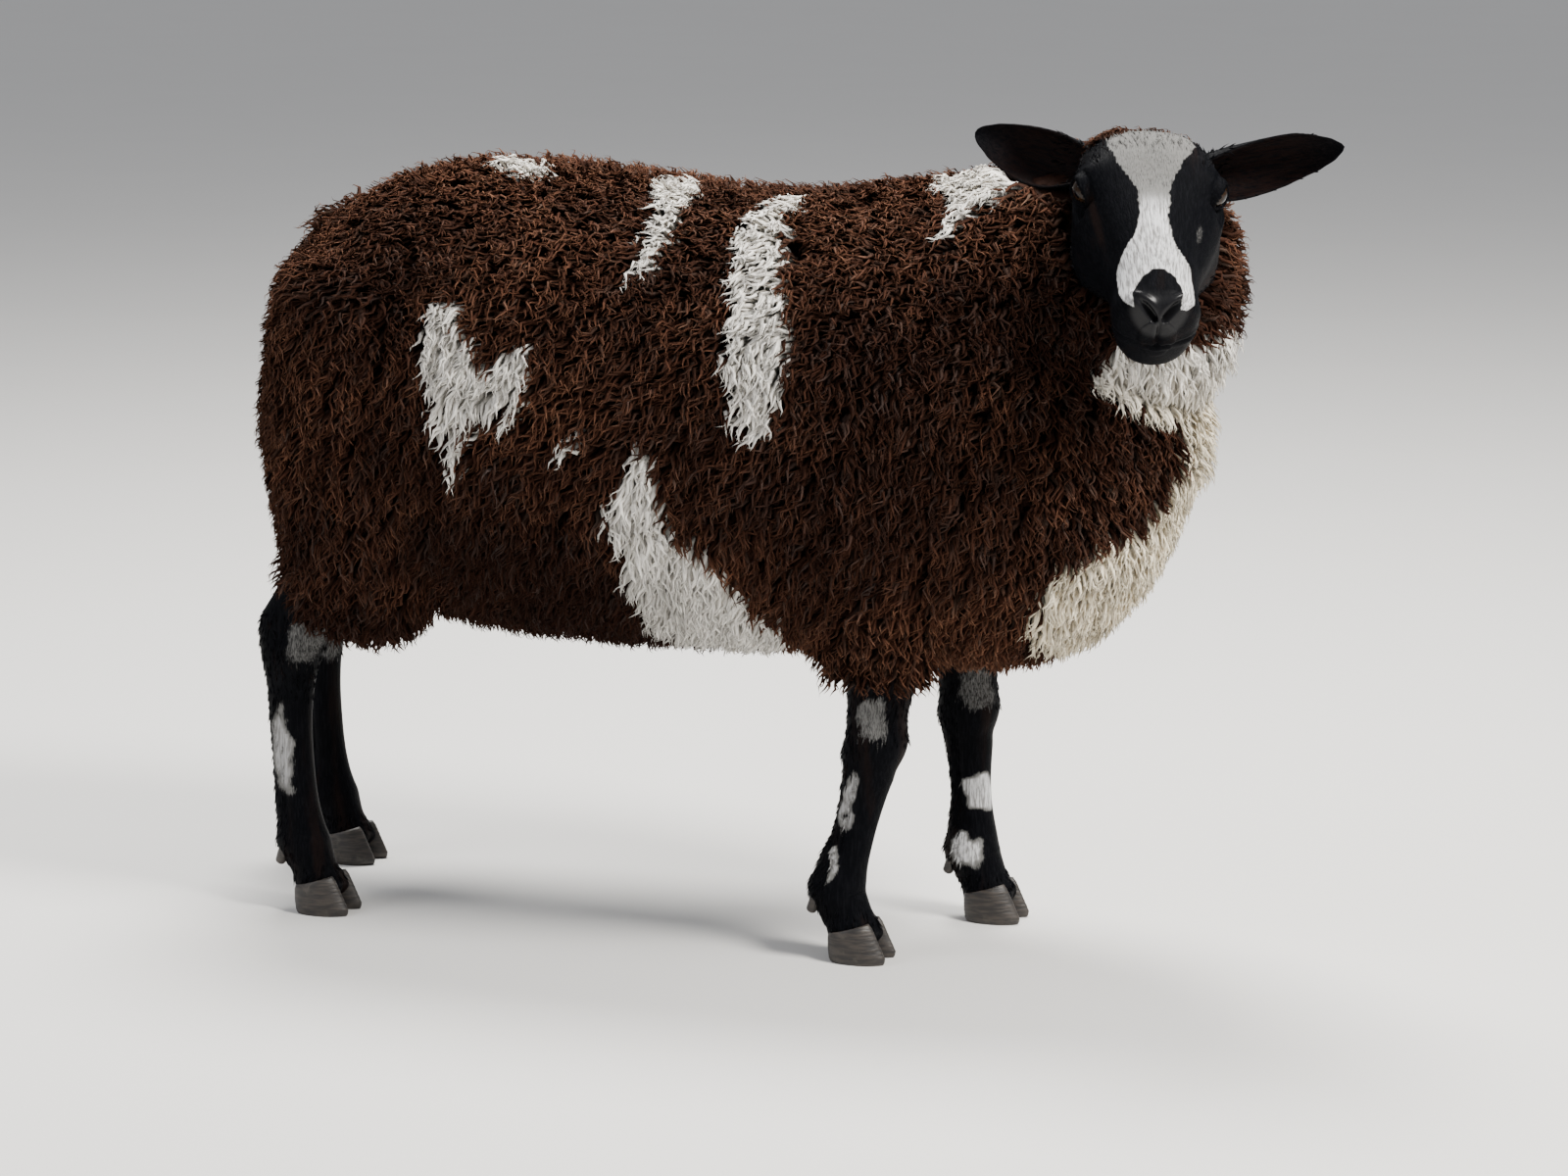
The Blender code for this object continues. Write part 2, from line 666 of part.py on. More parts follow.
def finish(obj, name, colour, smooth=True):
    """Names a finished piece, sets it in its place, gives it its material and its shading."""
    obj.name = name
    obj.data.transform(Matrix.Translation(SHIFT))
    obj.data.name = name
    obj.data.materials.clear()
    obj.data.materials.append(material(colour))
    if smooth:
        obj.data.shade_smooth()
        obj.data.set_sharp_from_angle(angle=math.radians(40))
    return obj


def sleeve_keys(leg, side):
    """The woolly upper foreleg, round the top of its bare leg."""
    leg = np.array(leg)
    keys = []
    for height, wide, deep in (SLEEVE_TOP, SLEEVE_MIDDLE, SLEEVE_HEM):
        x = float(np.interp(height, leg[::-1, 2], leg[::-1, 0]))
        y = 0.098 * side
        keys.append((x - 0.006, y, height, wide, deep))
    return keys


def feet():
    """Each leg's name, side and keys, and where its foot stands."""
    hind_left = [(x + HIND_LEFT_BACK * min(1.0, max(0.0, (0.42 - z) / 0.12)), y, z, a, b) for x, y, z, a, b in HINDLEG]
    return (
        ("foreleg_right", -1, mirrored(FORELEG_RIGHT, -1)),
        ("foreleg_left", 1, mirrored(FORELEG_LEFT, 1)),
        ("hindleg_right", -1, mirrored(HINDLEG, -1)),
        ("hindleg_left", 1, mirrored(hind_left, 1)),
    )


def wool_core(grow):
    """The body under the tips of the wool, as one solid."""
    core = trunk(grow)
    pieces = [tube("neck", NECK, 6, 12, grow)]
    for side in (1, -1):
        pieces.append(tube("thigh", mirrored(THIGH, side), 5, 10, grow))
    for name, side, keys in feet()[:2]:
        pieces.append(tube("sleeve", sleeve_keys(keys, side), 4, 8, grow))
    pieces.append(tube("tail", TAIL, 6, 8, grow * 0.5))
    join_all(core, pieces)
    keep_largest(core)
    return core


def bare_leg(keys):
    return tube("leg", keys, 16, 10, ends=0.4)


def claw(name, x, y, inner):
    """One claw of a cloven hoof, flat under, with a sloping toe. inner is the side of the cleft."""
    slope = math.tan(CORONET_SLOPE)
    centre_y = y - inner * (CLAW_HALF_WIDTH + CLAW_CLEFT / 2)
    rings = []
    # height share, length share, width share, set back
    for share, length, width, back in ((0.0, 0.97, 0.95, 0.0), (0.10, 1.0, 1.0, 0.0), (1.0, 0.78, 0.90, 0.0075)):
        ring = []
        for k in range(CLAW_SIDES):
            angle = 2 * math.pi * k / CLAW_SIDES
            c, s = math.cos(angle), math.sin(angle)
            flat = 1.0 if s * inner < 0 else 0.72  # the side along the cleft is flatter
            toe = 1.0 - 0.30 * max(c, 0) ** 2
            px = x + power(c, 0.85) * CLAW_LENGTH / 2 * length - back
            py = centre_y + s * CLAW_HALF_WIDTH * width * flat * toe
            pz = (CORONET_HEIGHT + (px - x) * slope) * share
            ring.append(Vector((px, py, pz)))
        rings.append(ring)
    first = Vector((x, centre_y, 0.0))
    last = sum(rings[-1], Vector()) / CLAW_SIDES
    return facing_out(loft(name, rings, first, last))


def coronet_normal():
    return Vector((-math.sin(CORONET_SLOPE), 0, math.cos(CORONET_SLOPE)))


def dewclaws(keys, side):
    """The two small claws behind the fetlock."""
    x, y, z = keys[7][:3]
    deep = keys[7][4]
    made = []
    for way in (1, -1):
        start = Vector((x - deep * 0.55, y + way * 0.011, z - 0.004))
        points = []
        for t in (0.0, 0.35, 0.7):
            centre = start + Vector((-0.45, 0, -0.9)).normalized() * DEWCLAW_LENGTH * t
            radius = DEWCLAW_RADIUS * (1 - 0.45 * t)
            points.append((*centre, radius, radius))
        made.append(tube("dewclaw", points, 3, 6, ends=0.8))
    return made


def lie_of_wool(point, normal):
    """The way the wool lies: back and down the sides, parting along the back."""
    side = 1 if point.y > 0 else -1
    way = Vector((-0.55, 0.40 * side, -0.80))
    if normal.z < -0.4:
        way = Vector((-1.0, 0.0, -0.3))
    flat = way - normal * way.dot(normal)
    return flat.normalized() if flat.length > 1e-4 else normal.orthogonal().normalized()


def crosses_itself(obj):
    """Whether two faces of the mesh that share no corner meet."""
    faces = [p.vertices[:] for p in obj.data.polygons]
    tree = BVHTree.FromPolygons([v.co for v in obj.data.vertices], faces)
    return any(not set(faces[a]) & set(faces[b]) for a, b in tree.overlap(tree))


def clump(tree, point, normal, lie, size, turn, bent=True):
    """One rounded clump of wool: rooted in the core, bent round it, leaning the way the wool lies."""
    across = normal.cross(lie)
    length, width, rise = CLUMP_LENGTH * size / 2, CLUMP_WIDTH * size / 2, CLUMP_RISE * (0.6 + 0.4 * size)

    def above(along, sideways, height):
        flat = point + lie * along + across * sideways
        if not bent:
            return flat + normal * height
        found, found_normal, _, _ = tree.find_nearest(flat)
        return found + (found_normal + normal).normalized() * height

    rings = []
    for high, spread, lean in CLUMP_RINGS:
        ring = []
        for k in range(CLUMP_SIDES):
            angle = 2 * math.pi * k / CLUMP_SIDES + turn
            along = length * (math.cos(angle) * spread + lean * 2)
            ring.append(above(along, math.sin(angle) * width * spread, rise * high))
        rings.append(ring)
    first = point - normal * CLUMP_ROOT - lie * 0.10 * length
    last = above(0.36 * length, 0.0, rise)
    return facing_out(loft("clump", rings, first, last))


def clump_size(point, normal):
    """How large a clump stands here, as a share of the largest, or None where none may stand."""
    local = head_matrix().inverted() @ point
    if local.x > -0.020 and abs(local.y) < 0.105 and local.z > -0.185:
        return None
    hem = point.z < 0.34 and point.x < -0.25 or point.z < 0.30 and 0.08 < point.x < 0.29 and abs(point.y) > 0.05
    if hem and (normal.z < -0.35 or point.z < 0.262 and point.x > 0):
        return None
    beside_ear = local.y < 0 and local.x > -0.11 and local.z > -0.115
    if beside_ear:
        return None
    if point.z < 0.36 and -0.50 < point.x < -0.25:
        return 0.80
    if point.x < -0.425 and abs(point.y) < 0.05:
        return 0.62
    if point.z < 0.33 and 0.08 < point.x < 0.29:
        return 0.78
    if point.x < -0.40 or point.x > 0.38 or point.z > 0.70:
        return 0.88
    return 1.0


def wool_roots(core):
    """Evenly spread places on the core, each as far as can be from those before it."""
    mesh = core.data
    mesh.calc_loop_triangles()
    corners = np.array([[mesh.vertices[i].co[:] for i in t.vertices] for t in mesh.loop_triangles])
    normals = np.array([t.normal[:] for t in mesh.loop_triangles])
    areas = np.linalg.norm(np.cross(corners[:, 1] - corners[:, 0], corners[:, 2] - corners[:, 0]), axis=1)
    draw = np.random.default_rng(WOOL_SEED)
    index = draw.choice(len(areas), WOOL_SAMPLES, p=areas / areas.sum())
    a, b = draw.random((2, WOOL_SAMPLES))
    over = a + b > 1
    a[over], b[over] = 1 - a[over], 1 - b[over]
    corner = corners[index]
    places = corner[:, 0] + (corner[:, 1] - corner[:, 0]) * a[:, None] + (corner[:, 2] - corner[:, 0]) * b[:, None]
    facing = normals[index]
    sizes = np.array([clump_size(Vector(p), Vector(n)) or 0.0 for p, n in zip(places, facing)])
    open_ones = sizes > 0
    places, sizes, facing = places[open_ones], sizes[open_ones], facing[open_ones]
    roots = []
    nearest = np.full(len(places), 1e3)
    pick = 0
    while nearest[pick] > CLUMP_SPACING:
        roots.append((Vector(places[pick]), Vector(facing[pick]), float(sizes[pick])))
        away = np.linalg.norm(places - places[pick], axis=1) / np.minimum(sizes, sizes[pick])
        nearest = np.minimum(nearest, away)
        pick = int(nearest.argmax())
    return roots


def smooth_normal(tree, point, normal):
    """The core's normal here, evened out over its neighbours."""
    total = normal.copy()
    for _, face_normal, _, _ in tree.find_nearest_range(point, 0.045):
        total += face_normal
    return total.normalized()


def grow_wool(core):
    tree = BVHTree.FromPolygons(
        [v.co for v in core.data.vertices], [p.vertices[:] for p in core.data.polygons]
    )
    draw = random.Random(WOOL_SEED)
    clumps = []
    for point, normal, size in wool_roots(core):
        normal = smooth_normal(tree, point, normal)
        lie = Matrix.Rotation(draw.uniform(-0.3, 0.3), 3, normal) @ lie_of_wool(point, normal)
        size *= draw.uniform(0.95, 1.06)
        turn = draw.uniform(0, 1.0)
        made = clump(tree, point, normal, lie, size, turn)
        if crosses_itself(made):
            bpy.data.objects.remove(made)
            made = clump(tree, point, normal, lie, size * 0.72, turn, bent=False)
        clumps.append(made)
    return clumps


def sleeve_box(keys, side, grow):
    x = float(np.interp(0.33, np.array(keys)[::-1, 2], np.array(keys)[::-1, 0]))
    ys = sorted((side * (SLEEVE_BOX_INNER - grow), side * SLEEVE_BOX_OUTER))
    return block((x - SLEEVE_BOX_HALF - grow, ys[0], -FAR), (x + SLEEVE_BOX_HALF + grow, ys[1], ELBOW_Z + grow))


def split_leg(leg, lower_name, side):
    """Parts the bare lower leg from the woolly upper one, at the hem of the wool."""
    height = THIGH_HEM if "hind" in lower_name else SLEEVE_HEM_CUT
    lower = copy_of(leg, lower_name)
    cut_off(leg, (0, 0, height), (0, 0, -1))
    cut_off(lower, (0, 0, height), (0, 0, 1))
    return lower


def tail_box(grow):
    return block(
        (-FAR, -TAIL_BOX_HALF - grow, TAIL_BOX_BOTTOM - grow),
        (TAIL_BOX_FRONT + grow, TAIL_BOX_HALF + grow, TAIL_BOX_TOP + grow),
    )


UPPER_LEGS = {"foreleg": "upper_foreleg", "hindleg": "thigh"}


def part_body(body, socket):
    """Cuts the whole body into its named pieces."""
    legs = {name: (side, keys) for name, side, keys in feet()}
    torso = copy_of(body, "torso")
    cut_off(torso, *NECK_CUT)
    cut_off(torso, *THIGH_CUT)
    boolean(torso, tail_box(HALF_GAP), "DIFFERENCE")
    for name in ("foreleg_right", "foreleg_left"):
        side, keys = legs[name]
        boolean(torso, sleeve_box(keys, side, HALF_GAP), "DIFFERENCE")
    boolean(torso, copy_of(socket, "socket"), "DIFFERENCE")
    pieces = [torso]

    neck = copy_of(body, "neck")
    cut_off(neck, NECK_CUT[0], -NECK_CUT[1])
    boolean(neck, copy_of(socket, "socket"), "DIFFERENCE")
    pieces.append(neck)

    tail = copy_of(body, "tail")
    boolean(tail, tail_box(-HALF_GAP), "INTERSECT")
    pieces.append(tail)

    for name, (side, keys) in legs.items():
        leg = copy_of(body, UPPER_LEGS[name[:7]] + name[7:])
        if name.startswith("hind"):
            cut_off(leg, THIGH_CUT[0], -THIGH_CUT[1])
            cut_off(leg, (0, 0, 0), (0, -side, 0))
            boolean(leg, tail_box(HALF_GAP), "DIFFERENCE")
        else:
            boolean(leg, sleeve_box(keys, side, -HALF_GAP), "INTERSECT")
        pieces.append(leg)
        pieces.append(split_leg(leg, name, side))
    for piece in pieces:
        keep_largest(piece)
        finish(piece, piece.name, "leg" if piece.name.startswith(("foreleg", "hindleg")) else "fleece")


def main():
    clear_scene()
    body = wool_core(-CORE_DEPTH)
    wool = grow_wool(body)
    extra = []
    for name, side, keys in feet():
        foot_x = keys[-1][0] + 0.006
        leg = bare_leg(keys)
        join_all(leg, dewclaws(keys, side))
        cut_off(leg, (foot_x, 0, CORONET_HEIGHT), -coronet_normal(), GAP)
        extra.append(leg)
        for inner, tag in ((side, "inner"), (-side, "outer")):
            claw_name = name.replace("leg", "hoof") + "_" + tag
            finish(claw(claw_name, foot_x, keys[-1][1], inner), claw_name, "hoof")
    join_all(body, wool + extra)
    keep_largest(body)
    head = build_head()
    head_socket = head_loft(GAP)
    whole_socket = copy_of(head_socket, "socket")
    sockets = [ear("socket", side, EAR_CLEARANCE) for side in (1, -1)]
    sockets += [eyeball("socket", side, LID_CLEARANCE) for side in (1, -1)]
    join_all(whole_socket, sockets)
    part_body(body, whole_socket)
    for side, name in ((1, "ear_left"), (-1, "ear_right")):
        made = ear(name, side)
        boolean(made, copy_of(head_socket, "socket"), "DIFFERENCE")
        keep_largest(made)
        finish(made, name, "face")
    keep_largest(head)
    finish(head, "head", "face")
    for spare in (body, head_socket, whole_socket):
        bpy.data.objects.remove(spare)


main()
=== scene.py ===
import math
import bpy
import numpy as np
from mathutils import Matrix, Vector
from mathutils.kdtree import KDTree


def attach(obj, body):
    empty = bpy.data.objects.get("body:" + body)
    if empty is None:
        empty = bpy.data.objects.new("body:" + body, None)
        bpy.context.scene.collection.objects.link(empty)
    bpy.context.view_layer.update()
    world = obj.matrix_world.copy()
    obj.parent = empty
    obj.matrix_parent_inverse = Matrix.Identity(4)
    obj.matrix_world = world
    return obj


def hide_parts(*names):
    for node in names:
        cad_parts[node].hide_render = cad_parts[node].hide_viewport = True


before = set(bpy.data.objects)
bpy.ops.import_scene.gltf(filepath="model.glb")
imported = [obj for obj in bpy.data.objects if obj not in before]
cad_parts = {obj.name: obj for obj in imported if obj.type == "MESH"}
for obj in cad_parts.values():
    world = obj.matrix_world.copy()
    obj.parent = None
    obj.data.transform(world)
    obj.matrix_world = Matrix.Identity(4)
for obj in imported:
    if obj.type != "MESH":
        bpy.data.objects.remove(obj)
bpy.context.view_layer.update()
scene = bpy.context.scene
# sizes are written round the ram's own axes, and this moves the finished pieces to the frame's
middleShift = np.array((-0.038, 0.0077, 0.0))
print("ram: frame loaded")


def splineRows(rows, at):
    rows = np.array(rows, float)
    place, value = rows[:, 0], rows[:, 1:]
    slope = np.gradient(value, place, axis=0)
    at = np.clip(np.asarray(at, float), place[0], place[-1])
    left = np.clip(np.searchsorted(place, at, side="right") - 1, 0, len(place) - 2)
    width = (place[left + 1] - place[left])[:, None]
    t = (at[:, None] - place[left][:, None]) / width
    return (value[left] * (1 + 2 * t) * (1 - t) ** 2 + slope[left] * width * t * (1 - t) ** 2
            + value[left + 1] * t**2 * (3 - 2 * t) + slope[left + 1] * width * t**2 * (t - 1))


def unit(v):
    v = np.asarray(v, float)
    return v / np.maximum(np.linalg.norm(v, axis=-1, keepdims=True), 1e-9)


def signedPower(value, exponent):
    return np.sign(value) * np.abs(value) ** exponent


def smoothStep(low, high, value):
    t = np.clip((value - low) / (high - low), 0, 1)
    return t * t * (3 - 2 * t)


def bell(distance, width):
    return np.exp(-((distance / width) ** 2))


def bump(points, centre, reach):
    # a soft round swelling on both sides; points have their y turned positive
    return np.exp(-(((points - centre) / reach) ** 2).sum(axis=1))


def lineDistance(points, path):
    # distance to a path, and how far along it (0 to 1) the nearest place is
    path = np.array(path, float)
    best = np.full(len(points), 1e3)
    along = np.zeros(len(points))
    for i in range(len(path) - 1):
        step = path[i + 1] - path[i]
        t = np.clip(((points - path[i]) @ step) / (step @ step), 0, 1)
        away = np.linalg.norm(points - (path[i] + t[:, None] * step), axis=1)
        near = away < best
        best = np.where(near, away, best)
        along = np.where(near, (i + t) / (len(path) - 1), along)
    return best, along


class Wobble:
    # smooth noise in space, as a sum of slanted waves with a fixed seed
    def __init__(self, seed, size, waves=10):
        draw = np.random.default_rng(seed)
        ways = unit(draw.normal(size=(waves, 3)))
        self.ways = ways * (2 * math.pi / size) * draw.uniform(0.5, 1.6, (waves, 1))
        self.starts = draw.uniform(0, 2 * math.pi, waves)

    def at(self, points):
        return np.sin(points @ self.ways.T + self.starts).sum(axis=1) / math.sqrt(len(self.starts) / 2) / 1.5


def loftMesh(rings, first, last):
    # rings of the same count, turning left seen from the last pole
    rings = np.asarray(rings, float)
    count, sides = rings.shape[:2]
    points = np.concatenate([[first], rings.reshape(-1, 3), [last]])
    k = np.arange(sides)
    j = (k + 1) % sides
    quads = []
    for r in range(count - 1):
        a, b = 1 + r * sides, 1 + (r + 1) * sides
        quads.append(np.stack([a + k, a + j, b + j, b + k], axis=1))
    end = 1 + (count - 1) * sides
    caps = [(0, int(1 + b), int(1 + a)) for a, b in zip(k, j)]
    caps += [(int(len(points) - 1), int(end + a), int(end + b)) for a, b in zip(k, j)]
    faces = [tuple(int(i) for i in q) for q in np.concatenate(quads)] + caps
    return points, faces


def makeObject(name, points, faces, smooth=True):
    mesh = bpy.data.meshes.new(name)
    mesh.from_pydata([tuple(p) for p in points], [], faces)
    mesh.update()
    if smooth:
        mesh.shade_smooth()
    obj = bpy.data.objects.new(name, mesh)
    scene.collection.objects.link(obj)
    return obj


def joinMeshes(parts):
    points, faces, base = [], [], 0
    for p, f in parts:
        points.append(p)
        faces += [tuple(i + base for i in face) for face in f]
        base += len(p)
    return np.concatenate(points), faces


def meshArrays(mesh):
    points = np.empty(len(mesh.vertices) * 3)
    mesh.vertices.foreach_get("co", points)
    return points.reshape(-1, 3)


def evaluatedMesh(obj):
    graph = bpy.context.evaluated_depsgraph_get()
    return bpy.data.meshes.new_from_object(obj.evaluated_get(graph))


def evenOut(mesh, rounds):
    # moves each point halfway to the middle of its neighbours
    points = meshArrays(mesh)
    edges = np.empty(len(mesh.edges) * 2, int)
    mesh.edges.foreach_get("vertices", edges)
    a, b = edges.reshape(-1, 2).T
    count = np.bincount(np.concatenate([a, b]), minlength=len(points)).astype(float)[:, None]
    size = len(points)
    for _ in range(rounds):
        total = [np.bincount(a, points[b, i], size) + np.bincount(b, points[a, i], size) for i in range(3)]
        points = points + 0.5 * (np.column_stack(total) / np.maximum(count, 1) - points)
    mesh.vertices.foreach_set("co", points.ravel())
    mesh.update()


def nearestOf(points, places):
    # for each place, the number of the point that is nearest
    tree = KDTree(len(points))
    for i, p in enumerate(points):
        tree.insert(p, i)
    tree.balance()
    return np.array([tree.find(p)[1] for p in places])


def uniteAll(base, others):
    for other in others:
        change = base.modifiers.new("unite", "BOOLEAN")
        change.operation, change.solver, change.object = "UNION", "MANIFOLD", other
        made = evaluatedMesh(base)
        base.modifiers.clear()
        if len(made.polygons) > len(base.data.polygons) * 0.6:
            base.data = made
            bpy.data.objects.remove(other)
        else:
            print("ram: union kept as two shells", other.name)
    return base


def giveNumbers(mesh, name, values):
    values = np.asarray(values, np.float32)
    kind = "FLOAT_VECTOR" if values.ndim == 2 else "FLOAT"
    layer = mesh.attributes.new(name, kind, "POINT")
    layer.data.foreach_set("vector" if values.ndim == 2 else "value", values.ravel())


def placeOnRam(obj, look):
    obj.data.transform(Matrix.Translation(Vector(middleShift)))
    obj.data.update()
    obj.data.materials.append(look)


body = {
    "woolDepth": 0.028,  # from the tips of the wool to the skin
    "remesh": 0.006,
    "fullness": 2.25,  # of the trunk's section; 2 is an ellipse, more is squarer
    # place along X, back, belly, half width, out to the tips of the wool
    "trunk": (
        (-0.462, 0.560, 0.450, 0.040), (-0.445, 0.650, 0.385, 0.100), (-0.410, 0.697, 0.340, 0.150),
        (-0.360, 0.729, 0.302, 0.180), (-0.280, 0.745, 0.284, 0.198), (-0.150, 0.742, 0.275, 0.208),
        (0.000, 0.726, 0.276, 0.213), (0.120, 0.728, 0.277, 0.208), (0.220, 0.736, 0.275, 0.192),
        (0.310, 0.722, 0.274, 0.172), (0.380, 0.680, 0.303, 0.146), (0.432, 0.625, 0.372, 0.106),
        (0.458, 0.565, 0.432, 0.072), (0.470, 0.520, 0.440, 0.042),
    ),
    # tubes: middle, half width across, half depth
    "neck": (
        (0.080, 0.000, 0.550, 0.175, 0.175), (0.200, 0.000, 0.585, 0.160, 0.160),
        (0.290, -0.006, 0.618, 0.148, 0.142), (0.360, -0.010, 0.642, 0.122, 0.142),
        (0.425, -0.016, 0.645, 0.106, 0.122),
    ),
    "thigh": (
        (-0.300, 0.090, 0.600, 0.095, 0.150), (-0.320, 0.105, 0.470, 0.085, 0.135),
        (-0.345, 0.105, 0.375, 0.074, 0.110), (-0.365, 0.102, 0.312, 0.058, 0.082),
    ),
    "tail": (
        (-0.385, 0.000, 0.655, 0.048, 0.046), (-0.440, 0.000, 0.610, 0.048, 0.046),
        (-0.464, 0.000, 0.520, 0.048, 0.044), (-0.468, 0.000, 0.420, 0.046, 0.042),
        (-0.462, 0.000, 0.350, 0.038, 0.036),
    ),
    # wool round the upper foreleg: height, half width, half depth
    "sleeve": ((0.450, 0.085, 0.115), (0.345, 0.068, 0.088), (0.272, 0.052, 0.066)),
}
legs = {
    "sides": 40,
    "rings": 90,
    # X of the right and of the left leg, Y, height, half width, half depth
    "fore": (
        (0.188, 0.205, 0.098, 0.400, 0.030, 0.042), (0.178, 0.200, 0.096, 0.290, 0.026, 0.036),
        (0.172, 0.200, 0.095, 0.240, 0.023, 0.029), (0.169, 0.201, 0.095, 0.205, 0.024, 0.028),
        (0.160, 0.203, 0.095, 0.165, 0.0185, 0.022), (0.149, 0.205, 0.095, 0.120, 0.017, 0.0195),
        (0.136, 0.206, 0.095, 0.080, 0.022, 0.025), (0.133, 0.207, 0.095, 0.064, 0.024, 0.027),
        (0.143, 0.217, 0.095, 0.042, 0.023, 0.024), (0.152, 0.226, 0.095, 0.018, 0.027, 0.027),
    ),
    # X, Y, height, half width, half depth
    "hind": (
        (-0.345, 0.100, 0.420, 0.035, 0.055), (-0.385, 0.100, 0.345, 0.026, 0.042),
        (-0.418, 0.100, 0.300, 0.021, 0.034), (-0.431, 0.100, 0.268, 0.022, 0.033),
        (-0.434, 0.100, 0.228, 0.018, 0.025), (-0.432, 0.100, 0.150, 0.0165, 0.0200),
        (-0.426, 0.100, 0.085, 0.020, 0.0235), (-0.422, 0.100, 0.066, 0.023, 0.026),
        (-0.412, 0.100, 0.042, 0.022, 0.023), (-0.403, 0.100, 0.018, 0.026, 0.027),
    ),
    "hindLeftBack": -0.064,  # how far the left hind foot stands behind the right one
}


def tubeRings(keys, count, sides, grow=0.0, ends=0.55):
    # a tube along a smooth path, its ends rounded by rings that shrink; ends is their depth in widths
    keys = np.array(keys, float)
    steps = np.linalg.norm(np.diff(keys[:, :3], axis=0), axis=1)
    along = np.concatenate([[0.0], np.cumsum(steps)])
    at = np.linspace(0.0, along[-1], count)
    rows = splineRows(np.column_stack([along, keys]), at)
    centres, sizes = rows[:, :3], rows[:, 3:] + grow
    tangents = unit(np.gradient(centres, at, axis=0))
    startReach, endReach = -ends * sizes[0].min(), ends * sizes[-1].min()
    cap = [(t, math.sqrt(max(1 - t * t, 0.0))) for t in np.sin(np.linspace(0.08, 0.5, 6) * math.pi)]
    path = [(0, startReach * t, share) for t, share in cap[::-1]]
    path += [(i, 0.0, 1.0) for i in range(count)]
    path += [(count - 1, endReach * t, share) for t, share in cap]
    angle = 2 * math.pi * np.arange(sides) / sides
    rings = []
    for i, push, share in path[1:-1]:
        t = tangents[i]
        across = np.array((0.0, 1.0, 0.0))
        across = unit(across - t * (across @ t))
        fore = np.cross(across, t)
        a, b = np.cos(angle) * sizes[i, 0] * share, np.sin(angle) * sizes[i, 1] * share
        rings.append(centres[i] + t * push - across * a[:, None] + fore * b[:, None])
    return rings, centres[0] + tangents[0] * startReach, centres[-1] + tangents[-1] * endReach


def trunkRings(grow, count, sides):
    place = body["trunk"]
    at = np.linspace(place[0][0], place[-1][0], count)
    middle, half = (at[0] + at[-1]) / 2, (at[-1] - at[0]) / 2
    at = middle + half * np.sin((at - middle) / half * math.pi / 2)
    sizes = splineRows(place, at)
    shrink = 1 + grow / half
    angle = 2 * math.pi * np.arange(sides) / sides
    thinnest = 0.015
    rings = []
    for x, (top, bottom, width) in zip(at, sizes):
        high, wide = max((top - bottom) / 2 + grow, thinnest), max(width + grow, thinnest)
        y = signedPower(np.cos(angle), 2 / body["fullness"]) * wide
        z = (top + bottom) / 2 + signedPower(np.sin(angle), 2 / body["fullness"]) * high
        rings.append(np.column_stack([np.full(sides, (x - middle) * shrink + middle), y, z]))
    first, last = (rings[i].mean(axis=0) + (step, 0, 0) for i, step in ((0, -0.004), (-1, 0.004)))
    return rings, first, last


def onSide(keys, side):
    return [(x, y * side, *rest) for x, y, *rest in keys]


def allLegs():
    # name, side and keys of each leg; the left hind leg swings back below the hip
    foreRight, foreLeft = ([(row[i], *row[2:]) for row in legs["fore"]] for i in (0, 1))
    hindLeft = [(x + legs["hindLeftBack"] * min(1.0, max(0.0, (0.42 - z) / 0.12)), y, z, a, b)
                for x, y, z, a, b in legs["hind"]]
    rows = (("foreRight", -1, foreRight), ("foreLeft", 1, foreLeft), ("hindRight", -1, legs["hind"]),
            ("hindLeft", 1, hindLeft))
    return [(name, side, onSide(keys, side)) for name, side, keys in rows]


def legMiddle(keys, heights):
    # X of a leg's middle line at each height
    path = np.array(keys)
    return np.interp(heights, path[::-1, 2], path[::-1, 0])


def sleeveKeys(keys, side):
    return [(float(legMiddle(keys, h)) - 0.006, 0.098 * side, h, w, d) for h, w, d in body["sleeve"]]


def woolForms(grow):
    # every woolly form of the body
    forms = [trunkRings(grow, 50, 64), tubeRings(body["neck"], 24, 56, grow)]
    forms += [tubeRings(onSide(body["thigh"], side), 20, 44, grow) for side in (1, -1)]
    forms += [tubeRings(sleeveKeys(keys, side), 14, 36, grow) for name, side, keys in allLegs()[:2]]
    forms.append(tubeRings(body["tail"], 24, 30, grow * 0.5))
    return [loftMesh(*form) for form in forms]


coreObject = makeObject("core", *joinMeshes(woolForms(-body["woolDepth"])))
remesh = coreObject.modifiers.new("remesh", "REMESH")
remesh.mode, remesh.voxel_size = "VOXEL", body["remesh"]
coreObject.data = evaluatedMesh(coreObject)
coreObject.modifiers.clear()
evenOut(coreObject.data, 8)
print("ram: body under the wool", len(coreObject.data.polygons), "faces")


